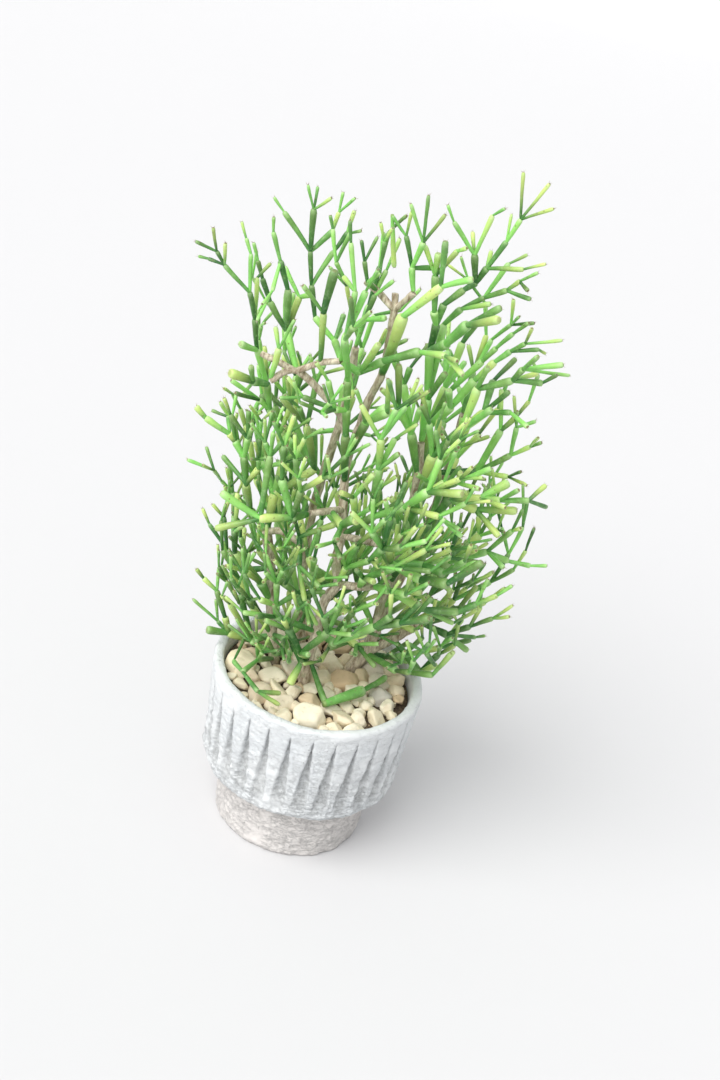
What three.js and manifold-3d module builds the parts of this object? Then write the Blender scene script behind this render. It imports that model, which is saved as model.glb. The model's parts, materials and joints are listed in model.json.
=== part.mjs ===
// A jointed cactus with many thin, bottle-shaped green stem segments, in a fluted cement pot on a plain foot.
// Millimetres, +Z up, the origin on the pot's axis at the surface that the foot stands on.
import * as THREE from 'three';
import { mergeVertices } from 'three/addons/utils/BufferGeometryUtils.js';
import Module from 'manifold-3d';

const wasm = await Module();
wasm.setup();

// The pot: an open cup on a narrower foot.
const potHeight = 86;
const rimRadius = 50;
const lipWidth = 5;
const lipRound = 1.6;
const cupBottom = 32;
const cupBottomRadius = 46.8;
const footRadius = 36.2;
const baseThickness = 8;
const potSides = 30;
const fluteCount = 30;
const fluteTop = 80;
const fluteFoot = 35;
const fluteHalfWidth = 4.2;
const fluteDepth = 2.2;
const fluteFlare = 0.25;
const fluteCover = 4;
// Rows of a flute: how far down it lies, and its shares of the full width and of the full depth.
const fluteRows = [[0, 0.01, 0.01], [0.4, 0.45, 1], [0.88, 1, 0.35], [1, 0.9, 0.01]];
const wellRadius = 30;
const cavityRadius = 42;
const drainHoles = 3;
const drainRadius = 3;
const drainCircle = 20;

// What fills it.
const seatGap = 0.3;
const soilTop = 77;
const gravelTop = 80;
const pebbleSizes = [15, 12.5, 10, 8];
const pebbleTries = 40;
const pebbleSpacing = 0.8;
const pebbleSink = [-0.1, 0.25];
const pebbleSeed = 77;

// The plant. Its joints are given as they are seen from the front: across and up on the plane through the
// pot's axis, and how far behind that plane (in front is negative), along the line of sight of this eye.
const eyeBack = 541;
const eyeUp = 465.5;
const neck = 0.55;
const belly = 0.72;
const shoulder = 0.84;
const pinch = 0.62;
const greenSides = 3;
const woodSides = 4;
const barkFactor = 1.1;
const barkGap = 0.43;
const seatDepth = 1;
const sideFactor = 1.2;
const clearance = 0.35;
const slides = [0, 4, -4, 8, -8, 12, -12, 16, -16, 22, -22];

// Wood: node, limb, the limb and joint it grows from, low and high diameter, joints.
const wood = [
  ['stem_centre', 'centre', null, 4.8, 3.0, [[-6, 72, -6], [-6, 90, -7], [-5, 105, -8], [-5, 122, -8],
    [-1, 133, -8], [-4, 145, -5], [-4, 158, -2], [-6, 171, 0], [-8, 184, 2], [-9, 197, 3], [-7, 212, 3],
    [-6, 224, 2], [-3, 237, 1], [-3, 250, 0], [-4, 266, 0]]],
  ['stem_centre', 'crown stub', ['centre', 14], 2.8, 2.6, [[-5, 273, 1]]],
  ['stem_centre', 'crown right', ['centre', 14], 2.8, 2.4, [[2, 275, -4]]],
  ['stem_centre', 'crown left', ['centre', 14], 2.8, 2.4, [[-12, 272, 4], [-18, 275, 6]]],
  ['stem_centre', 'low right arm', ['centre', 4], 3.6, 3.2, [[9, 134, -13], [15, 136, -17]]],
  ['stem_centre', 'middle arm', ['centre', 6], 3.2, 2.8, [[3, 158, -9], [13, 158, -15]]],
  ['stem_centre', 'low left arm', ['centre', 7], 3.2, 2.8, [[-11, 169, -8], [-20, 165, -14]]],
  ['stem_centre', 'fork', ['centre', 9], 3.4, 2.8, [[-15, 213, 0], [-22, 220, -3], [-38, 230, -6],
    [-48, 223, -8]]],
  ['stem_centre', 'fork right', ['fork', 2], 2.8, 2.6, [[-29, 236, -8], [-21, 239, -10]]],
  ['stem_centre', 'fork up', ['fork', 2], 2.8, 2.6, [[-54, 234, -2]]],
  ['stem_left', 'left', null, 5.2, 4.6, [[-20, 72, 6], [-22, 85, 6], [-25, 98, 7], [-29, 116, 8],
    [-32, 133, 8], [-37, 151, 8]]],
  ['stem_left', 'left twig', ['left', 5], 3.4, 3.0, [[-30, 153, 3], [-21, 149, -3]]],
  ['stem_right', 'right', null, 6.4, 3.4, [[10, 72, 12], [14, 88, 13], [19, 100, 14], [21, 113, 15],
    [21, 126, 15], [22, 140, 16], [22, 154, 16], [23, 168, 16], [23, 182, 15], [22, 196, 13], [20, 211, 12]]],
  ['stem_right', 'right low', ['right', 2], 4.6, 3.8, [[30, 111, 12], [40, 123, 8]]],
  ['stem_back', 'back', null, 5.6, 3.0, [[-7, 74, 24], [-11, 96, 27], [-15, 118, 30], [-18, 140, 32],
    [-19, 162, 33], [-18, 184, 33], [-16, 206, 31], [-15, 228, 28], [-16, 246, 25]]],
  ['stem_back_right', 'back right', null, 5.2, 3.0, [[14, 76, 28], [18, 98, 32], [22, 120, 35],
    [26, 142, 37], [30, 164, 37], [33, 186, 35], [34, 208, 32], [34, 228, 28]]],
];

// Green sprays: node, the wood limb and joint that carries it, then its limbs. A limb is its diameter at the
// low and the high end and its joints. Every limb after the first starts with the joint it grows from.
const sprays = [
  ['far_left', 'left', 5, [
    [4.4, 2.6, [-37, 170, 10], [-36, 188, 10], [-40, 200, 7], [-46, 210, 4], [-49, 221, 0],
      [-56, 235, -3], [-59, 248, -6]],
    [2.4, 1.5, [-59, 248, -6], [-63, 259, -8], [-75, 268, -9], [-79, 273, -11], [-88, 275, -12]],
    [1.6, 1.4, [-75, 268, -9], [-82, 269, -8], [-86, 269, -6]],
    [1.5, 1.4, [-79, 273, -11], [-82, 282, -16]],
    [1.6, 1.4, [-75, 268, -9], [-76, 277, -15]],
    [1.9, 1.4, [-63, 259, -8], [-65, 275, -4], [-68, 281, -3], [-71, 287, -2]],
    [2.0, 1.6, [-59, 248, -6], [-61, 266, -2], [-57, 273, 2]],
    [3.2, 3.0, [-56, 235, -3], [-63, 236, -12]],
    [4.0, 4.4, [-49, 221, 0], [-55, 221, -4], [-65, 222, -10]],
    [2.6, 2.2, [-46, 210, 4], [-51, 213, 6], [-64, 219, 2]],
    [1.9, 1.7, [-55, 221, -4], [-58, 214, 12]],
    [4.0, 3.6, [-37, 170, 10], [-22, 187, 12], [-26, 205, 6]],
    [3.8, 4.2, [-22, 187, 12], [-29, 206, 2]],
    [3.4, 3.8, [-22, 187, 12], [-37, 210, 18]],
  ]],
  ['left_low_fork', 'fork', 3, [
    [3.0, 1.6, [-47, 238, -12], [-43, 252, -16]],
    [2.0, 1.8, [-47, 238, -12], [-50, 247, -8]],
  ]],
  ['left_mid', 'fork', 2, [
    [3.4, 1.6, [-45, 246, -2], [-54, 257, -1], [-59, 266, 0], [-62, 273, 1], [-65, 280, 2]],
    [3.2, 1.5, [-45, 246, -2], [-48, 264, -6], [-53, 275, -7], [-58, 286, -7], [-59, 292, -8]],
    [3.0, 2.2, [-45, 246, -2], [-43, 262, 2], [-51, 273, 6]],
    [2.4, 2.6, [-43, 262, 2], [-39, 264, 0]],
    [1.8, 1.4, [-53, 275, -7], [-54, 262, -14], [-58, 248, -18]],
  ]],
  ['left_light', 'fork right', 0, [
    [3.0, 3.8, [-32, 258, -16], [-31, 276, -22]],
  ]],
  ['left_crown', 'fork right', 1, [
    [3.2, 2.2, [-25, 247, 0], [-35, 255, 2], [-39, 268, 4], [-42, 282, 6]],
    [2.4, 1.3, [-42, 282, 6], [-55, 295, 8], [-60, 300, 10]],
    [2.8, 1.3, [-42, 282, 6], [-44, 299, 4], [-48, 308, 3]],
    [1.5, 1.4, [-44, 299, 4], [-38, 305, 0]],
    [1.4, 1.4, [-44, 299, 4], [-44, 308, 8]],
    [2.6, 1.4, [-42, 282, 6], [-35, 292, 12], [-34, 300, 13], [-34, 308, 14]],
    [1.4, 1.4, [-34, 300, 13], [-29, 307, 10]],
    [2.4, 2.0, [-39, 268, 4], [-33, 284, 14], [-29, 293, 16], [-28, 302, 18]],
  ]],
  ['left_crown2', 'fork right', 1, [
    [3.0, 1.6, [-21, 251, -6], [-21, 270, -7], [-27, 289, -7], [-29, 298, -8]],
    [2.2, 1.5, [-21, 270, -7], [-27, 275, -12], [-31, 280, -13], [-35, 293, -13], [-37, 298, -14]],
    [1.8, 1.4, [-31, 280, -13], [-28, 293, -16], [-24, 295, -18]],
    [3.0, 1.6, [-21, 251, -6], [-17, 271, -12], [-14, 281, -16]],
    [3.0, 1.8, [-21, 251, -6], [-15, 259, -2], [-13, 270, 0], [-7, 278, 2]],
    [2.8, 3.0, [-15, 259, -2], [-7, 262, -6]],
  ]],
  ['gold_arm', 'fork right', 1, [
    [3.6, 4.2, [-12, 236, -16], [-4, 243, -19], [10, 251, -22]],
    [3.0, 3.6, [-12, 236, -16], [-7, 250, -20]],
  ]],
  ['crown_arm_left', 'crown left', 0, [
    [2.6, 1.6, [-17, 275, 2], [-20, 283, 2], [-23, 291, 3]],
    [1.6, 1.4, [-20, 283, 2], [-17, 294, 6]],
    [2.0, 1.4, [-17, 275, 2], [-13, 280, -4], [-14, 293, -5], [-17, 300, -6]],
    [1.4, 1.4, [-14, 293, -5], [-12, 299, -8]],
  ]],
  ['crown_arm_right', 'crown right', 0, [
    [2.8, 1.5, [-1, 285, -2], [-6, 297, 0], [-13, 304, 2]],
    [1.5, 1.4, [-6, 297, 0], [-6, 307, -4]],
    [2.6, 1.6, [-1, 285, -2], [1, 296, -6], [-1, 315, -7]],
    [1.6, 1.4, [1, 296, -6], [-7, 310, -10]],
    [1.7, 1.5, [1, 296, -6], [7, 309, -8]],
    [2.4, 2.0, [-1, 285, -2], [7, 287, 2], [11, 295, 4]],
    [2.2, 2.0, [-13, 304, 2], [-8, 284, 4]],
  ]],
  ['thick_front', 'centre', 12, [
    [5.2, 5.0, [0, 264, -12]],
  ]],
  ['right_spire', 'right', 10, [
    [4.2, 3.0, [18, 231, 10], [14, 253, 8], [14, 264, 5], [12, 269, 2], [9, 284, -1], [8, 293, -4]],
    [3.4, 3.0, [14, 264, 5], [15, 273, 0], [21, 281, 1], [25, 285, 2]],
    [3.0, 2.2, [25, 285, 2], [28, 292, 3], [33, 304, 4], [36, 314, 4]],
    [1.6, 1.4, [36, 314, 4], [32, 332, 6]],
    [1.6, 1.4, [36, 314, 4], [43, 330, 2]],
    [1.5, 1.4, [36, 314, 4], [47, 321, -2]],
    [1.4, 1.4, [33, 304, 4], [32, 315, 8]],
    [3.0, 1.4, [25, 285, 2], [22, 296, 0], [11, 307, -1], [7, 313, -2]],
    [2.2, 1.4, [22, 296, 0], [25, 313, -2], [29, 317, -4]],
    [1.8, 1.7, [22, 296, 0], [19, 305, 5]],
    [2.2, 1.4, [28, 292, 3], [42, 295, -4], [50, 299, -6]],
    [2.0, 1.4, [28, 292, 3], [28, 299, 8]],
    [2.4, 2.0, [9, 284, -1], [15, 296, -8], [18, 298, -10]],
    [2.2, 2.0, [9, 284, -1], [2, 295, -2]],
    [4.6, 4.8, [14, 253, 8], [20, 257, -2], [26, 267, -8]],
    [3.6, 2.4, [18, 231, 10], [17, 265, 12], [22, 273, 11], [30, 280, 10]],
    [2.4, 1.5, [30, 280, 10], [36, 296, 14], [42, 301, 16]],
    [2.6, 1.5, [30, 280, 10], [38, 285, 6], [42, 290, 5], [48, 295, 4]],
    [2.0, 1.8, [38, 285, 6], [48, 284, 2]],
    [1.8, 1.6, [42, 290, 5], [46, 287, 0]],
    [2.4, 2.2, [22, 273, 11], [33, 278, 6]],
  ]],
  ['right_shoulder', 'right', 8, [
    [4.4, 1.8, [23, 201, 12], [21, 219, 8], [26, 237, 5], [36, 253, 2], [40, 260, 0], [45, 268, -3],
      [50, 274, -6]],
    [4.6, 1.6, [21, 219, 8], [28, 230, 2], [35, 244, 2], [41, 254, 1], [46, 260, 1], [51, 265, 0],
      [65, 270, 0]],
    [2.0, 1.4, [46, 260, 1], [57, 264, 4], [60, 263, 6]],
    [1.6, 1.3, [51, 265, 0], [52, 272, -4]],
    [4.2, 3.0, [21, 219, 8], [24, 238, 16], [26, 259, 17], [30, 270, 18]],
  ]],
  ['right_bough', 'right', 7, [
    [5.0, 2.6, [25, 187, 12], [26, 206, 8], [35, 221, 5], [37, 241, 2], [50, 248, -2], [53, 254, -5],
      [68, 260, -8]],
    [2.8, 1.8, [50, 248, -2], [62, 250, -14], [67, 255, -14]],
    [2.4, 1.8, [50, 248, -2], [59, 254, -2]],
    [1.6, 1.4, [53, 254, -5], [72, 256, -12]],
    [4.4, 2.6, [35, 221, 5], [42, 231, 2], [50, 243, 0]],
    [2.6, 2.0, [42, 231, 2], [53, 234, -6]],
  ]],
  ['right_wing', 'right', 6, [
    [4.6, 1.8, [25, 176, 16], [29, 199, 14], [46, 204, 12], [58, 215, 11], [65, 221, 10], [69, 224, 8]],
    [3.6, 2.0, [46, 204, 12], [51, 225, 18], [56, 233, 20], [59, 241, 22]],
    [2.4, 1.8, [58, 215, 11], [57, 228, 14], [64, 233, 16]],
    [1.6, 1.5, [65, 221, 10], [67, 226, 4]],
  ]],
  ['right_fan', 'right', 5, [
    [4.6, 2.8, [26, 158, 12], [32, 174, 8], [38, 188, 4], [51, 192, 1], [59, 193, -1], [71, 196, -4]],
    [2.4, 2.0, [71, 196, -4], [76, 205, -6]],
    [2.2, 1.8, [71, 196, -4], [79, 195, -2]],
    [4.4, 4.6, [51, 192, 1], [60, 202, 0]],
    [4.2, 4.6, [38, 188, 4], [50, 186, -4]],
    [3.6, 3.2, [50, 186, -4], [67, 190, -8]],
  ]],
  ['right_arm', 'right', 4, [
    [4.8, 2.0, [33, 142, 10], [45, 157, 6], [60, 167, 2], [68, 180, -2], [71, 182, -6]],
    [2.4, 2.0, [60, 167, 2], [69, 161, -8]],
    [3.0, 1.6, [60, 167, 2], [70, 165, 6], [80, 165, 5], [87, 167, 4]],
    [4.0, 2.2, [45, 157, 6], [55, 174, 8], [57, 184, 8]],
    [2.6, 2.0, [55, 174, 8], [52, 183, 12]],
    [2.2, 1.8, [55, 174, 8], [62, 179, 2]],
  ]],
  ['right_low_arm', 'low right arm', 1, [
    [4.2, 3.6, [22, 136, -22], [39, 130, -24]],
    [3.6, 1.9, [39, 130, -24], [55, 133, -24], [62, 139, -23], [70, 146, -23], [75, 153, -22]],
  ]],
  ['right_low_spray', 'right low', 1, [
    [3.8, 1.6, [53, 120, 2], [62, 127, 0], [71, 134, -2], [78, 143, -4]],
    [1.8, 1.6, [71, 134, -2], [78, 137, -8]],
    [3.0, 3.6, [53, 120, 2], [64, 114, 6]],
    [2.2, 1.6, [53, 120, 2], [66, 122, 12], [70, 124, 14]],
  ]],
  ['front_right_low', 'centre', 2, [
    [4.0, 3.6, [4, 101, -28], [20, 115, -33], [31, 120, -39], [43, 126, -44]],
    [3.4, 3.8, [20, 115, -33], [26, 122, -40]],
    [3.0, 2.0, [4, 101, -28], [17, 110, -30]],
  ]],
  ['right_floor', 'right low', 0, [
    [4.0, 2.4, [46, 96, 4], [52, 108, 0], [58, 115, -4]],
    [3.2, 3.0, [46, 96, 4], [52, 102, -8]],
  ]],
  ['front_middle', 'middle arm', 1, [
    [3.8, 5.0, [20, 150, -20], [35, 145, -29], [47, 146, -38]],
    [3.6, 4.2, [20, 150, -20], [34, 153, -22], [44, 151, -30]],
    [3.4, 4.2, [20, 150, -20], [18, 156, -26]],
  ]],
  ['front_long', 'centre', 6, [
    [3.6, 4.2, [8, 171, -14], [20, 179, -22], [28, 189, -30]],
  ]],
  ['front_uplift', 'low left arm', 0, [
    [3.8, 2.0, [-5, 163, -18], [6, 175, -26]],
    [3.6, 3.4, [6, 175, -26], [5, 194, -28], [3, 208, -30]],
    [4.6, 4.8, [-5, 163, -18], [0, 168, -26]],
  ]],
  ['front_left_up', 'low left arm', 1, [
    [4.0, 3.2, [-27, 161, -20], [-26, 175, -26]],
    [3.8, 2.4, [-27, 161, -20], [-35, 178, -18]],
    [4.2, 4.6, [-27, 161, -20], [-41, 157, -24]],
    [3.2, 2.4, [-41, 157, -24], [-42, 188, -16], [-45, 194, -16]],
  ]],
  ['front_left_down', 'left twig', 1, [
    [3.6, 3.4, [-22, 152, -8], [-20, 138, -16]],
    [3.0, 2.4, [-22, 152, -8], [-8, 163, -16]],
  ]],
  ['centre_right', 'low right arm', 0, [
    [4.0, 3.8, [10, 139, -22], [22, 148, -32]],
  ]],
  ['centre_up', 'centre', 4, [
    [3.2, 3.6, [1, 142, -12], [3, 155, -16]],
    [3.0, 4.0, [1, 142, -12], [11, 149, -18], [15, 156, -26]],
  ]],
  ['centre_left', 'centre', 4, [
    [4.2, 4.8, [-3, 134, -16], [-13, 137, -24]],
  ]],
  ['front_stem', 'centre', 2, [
    [3.6, 3.0, [-25, 108, -18], [-26, 114, -22], [-28, 126, -26]],
    [3.0, 2.8, [-26, 114, -22], [-34, 115, -30]],
    [2.8, 3.2, [-26, 114, -22], [-18, 123, -20], [-24, 126, -26]],
  ]],
  ['front_floor', 'centre', 1, [
    [3.4, 3.8, [-10, 91, -22], [0, 106, -32]],
    [3.6, 5.0, [-10, 91, -22], [-18, 103, -28]],
  ]],
  ['left_bend', 'left', 5, [
    [3.8, 1.8, [-46, 160, 4], [-55, 166, 2], [-61, 171, 0]],
    [1.8, 1.7, [-61, 171, 0], [-65, 175, 0], [-77, 177, -2]],
    [1.6, 1.5, [-65, 175, 0], [-70, 185, 4]],
    [4.0, 3.0, [-46, 160, 4], [-50, 172, 8], [-53, 185, 9], [-58, 191, 10], [-61, 194, 10],
      [-72, 199, 11], [-77, 203, 12]],
    [3.0, 1.9, [-53, 185, 9], [-53, 194, 2], [-62, 203, 1], [-66, 210, 0]],
    [2.6, 2.4, [-50, 172, 8], [-62, 183, 16]],
    [2.0, 1.6, [-61, 194, 10], [-63, 202, 18], [-70, 203, 20]],
    [3.0, 2.8, [-50, 172, 8], [-46, 181, 4], [-48, 195, 6]],
  ]],
  ['left_side', 'left', 4, [
    [3.6, 1.8, [-45, 128, 12], [-53, 137, 11], [-57, 153, 9], [-63, 158, 8]],
    [2.0, 1.7, [-53, 137, 11], [-63, 148, 14], [-67, 155, 16]],
    [1.7, 1.5, [-57, 153, 9], [-56, 162, 4]],
    [3.2, 2.0, [-45, 128, 12], [-44, 137, 18], [-48, 145, 19], [-53, 155, 19], [-54, 161, 20]],
    [2.4, 2.2, [-45, 128, 12], [-47, 150, 24]],
  ]],
  ['left_stub', 'left', 3, [
    [4.8, 5.0, [-35, 124, 2], [-49, 136, -4]],
    [3.0, 2.2, [-35, 124, 2], [-42, 128, -8]],
  ]],
  ['left_low', 'left', 2, [
    [4.6, 3.6, [-40, 115, 4], [-49, 126, 2]],
    [2.4, 2.0, [-40, 115, 4], [-43, 111, -4], [-50, 120, -5], [-55, 127, -6]],
  ]],
  ['left_floor', 'left', 2, [
    [4.4, 4.0, [-34, 92, 2], [-45, 93, -2], [-55, 92, -6]],
    [3.4, 1.9, [-45, 93, -2], [-48, 101, 0], [-54, 114, -1], [-61, 119, -1], [-65, 123, -2]],
    [2.2, 1.7, [-45, 93, -2], [-51, 98, 4], [-64, 107, 6]],
    [3.4, 2.6, [-34, 92, 2], [-43, 115, 8]],
    [3.0, 3.4, [-34, 92, 2], [-47, 109, -8]],
  ]],
  ['pale_stem', 'centre', 8, [
    [4.2, 3.4, [-12, 206, -4], [-14, 218, -6], [-16, 231, -8]],
    [3.2, 3.8, [-16, 231, -8], [-21, 249, -10]],
    [2.8, 3.4, [-14, 218, -6], [-13, 227, -2]],
    [3.0, 2.6, [-14, 218, -6], [-19, 217, -16], [-24, 229, -18]],
    [2.6, 3.4, [-19, 217, -16], [-33, 219, -18]],
  ]],
  ['centre_bush', 'centre', 9, [
    [4.0, 4.4, [-5, 214, -8], [2, 223, -16]],
    [3.6, 4.6, [-5, 214, -8], [3, 221, -20]],
  ]],
  ['centre_dark', 'right', 9, [
    [4.2, 3.2, [15, 214, 6], [7, 225, 2], [3, 243, -2]],
    [3.6, 3.0, [15, 214, 6], [7, 235, 12], [8, 243, 14]],
  ]],
];

// Limbs on the sides that face away, and low among the stems, grown by rule: node, wood limb and joint, heading
// in degrees (0 is right, 90 is back), rise in degrees, segments, diameter.
const reaches = [
  ['back_low_left', 'back', 2, 150, 32, 4, 4.0],
  ['back_low', 'back', 2, 95, 36, 4, 4.0],
  ['back_left', 'back', 3, 165, 42, 5, 4.2],
  ['back_mid', 'back', 4, 115, 44, 5, 4.0],
  ['back_high_left', 'back', 5, 160, 46, 5, 3.8],
  ['back_high', 'back', 6, 90, 52, 4, 3.6],
  ['back_top', 'back', 8, 75, 68, 4, 3.0],
  ['back_right_low', 'back right', 2, 60, 32, 4, 4.0],
  ['back_right_side', 'back right', 2, 15, 40, 5, 4.2],
  ['back_right_mid', 'back right', 3, 70, 44, 5, 4.0],
  ['back_right_high', 'back right', 5, 55, 52, 5, 3.6],
  ['back_right_top', 'back right', 7, 80, 66, 4, 3.0],
  ['low_bush_left', 'centre', 2, 215, 38, 3, 3.8],
  ['low_bush_right', 'right', 2, 330, 30, 3, 3.8],
];

// Side limbs of those: how far they turn from the limb's heading and rise above it, in degrees, how much
// thinner they are, and their segments.
const sideTurn = 50;
const sideRise = 8;
const sideTaper = 0.8;
const sideLinks = 3;

// The crown's outline as it is seen: height, left, right, and half its depth.
const crown = [
  [84, -44, 44, 40], [100, -60, 54, 46], [120, -63, 66, 52], [150, -64, 75, 58], [200, -73, 76, 62],
  [225, -66, 64, 60], [245, -62, 63, 56], [262, -82, 66, 52], [285, -78, 50, 44], [300, -60, 46, 34],
  [311, -44, 44, 24], [315, 22, 46, 14], [334, 28, 46, 8],
];

// Side shoots in whorls: by generation, how likely each is and the room that its tip keeps all round.
const shootRounds = [[0.8, 13]];
const shootSeed = 2025;
const whorl = 3;
const fineDiameter = 1.7;
const slenderDiameter = 2.3;
const stoutDiameter = 2.4;
const shootTilt = [22, 42];
const shootLift = 0.2;
const shootTaper = [0.72, 0.92];
const shootThinnest = 0.7;
const shootThickest = 1.9;
const segmentLength = (diameter) => 5.5 + 4.6 * diameter;
const headed = (turn, rise) => new THREE.Vector3(
  Math.cos(turn) * Math.cos(rise), Math.sin(turn) * Math.cos(rise), Math.sin(rise));
const degrees = Math.PI / 180;

class Draw {
  constructor(seed) {
    this.state = seed;
  }

  next() {
    this.state = (this.state * 16807) % 2147483647;
    return this.state / 2147483647;
  }

  within(low, high) {
    return low + (high - low) * this.next();
  }
}

const clamp = (value) => Math.min(1, Math.max(0, value));
const swell = (at) => neck + (1 - neck) * Math.min(1, at / 0.5);

function place([across, up, behind], slide = 0) {
  const depth = behind + slide;
  const scale = 1 + depth / eyeBack;
  return new THREE.Vector3(across * scale, depth, eyeUp + (up - eyeUp) * scale);
}

function crownAt(height) {
  for (let row = 1; row < crown.length; row += 1) {
    const [low, high] = [crown[row - 1], crown[row]];
    if (height >= low[0] && height <= high[0]) {
      const part = (height - low[0]) / (high[0] - low[0]);
      return low.slice(1).map((value, index) => value + (high[index + 1] - value) * part);
    }
  }
  return null;
}

// Whether a tip of this radius lies inside the crown and above the gravel and the rim.
function insideCrown(tip, radius) {
  const scale = eyeBack / (eyeBack + tip.y);
  const bounds = crownAt(eyeUp + (tip.z - eyeUp) * scale);
  if (!bounds) return false;
  const [left, right, deep] = bounds;
  const across = (tip.x * scale - (left + right) / 2) / ((right - left) / 2);
  if (across ** 2 + (tip.y / deep) ** 2 > 1.1) return false;
  const overPot = Math.hypot(tip.x, tip.y) < 60;
  return tip.z - radius > (overPot ? 88 : 82);
}

const potWall = (height) => cupBottomRadius
  + (rimRadius - cupBottomRadius) * (height - cupBottom) / (potHeight - cupBottom);

// Whether a segment stays clear of the gravel bed, the lip and the pot's wall.
function clearOfPot(from, to, radius) {
  const thick = radius * sideFactor + seatGap;
  return [0, 0.25, 0.5, 0.75, 1].every((part) => {
    const spot = from.clone().lerp(to, part);
    const out = Math.hypot(spot.x, spot.y);
    if (out > potWall(spot.z) + thick) return true;
    const floor = out > rimRadius - lipWidth - thick ? potHeight : gravelTop;
    return spot.z - thick > floor;
  });
}

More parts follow.
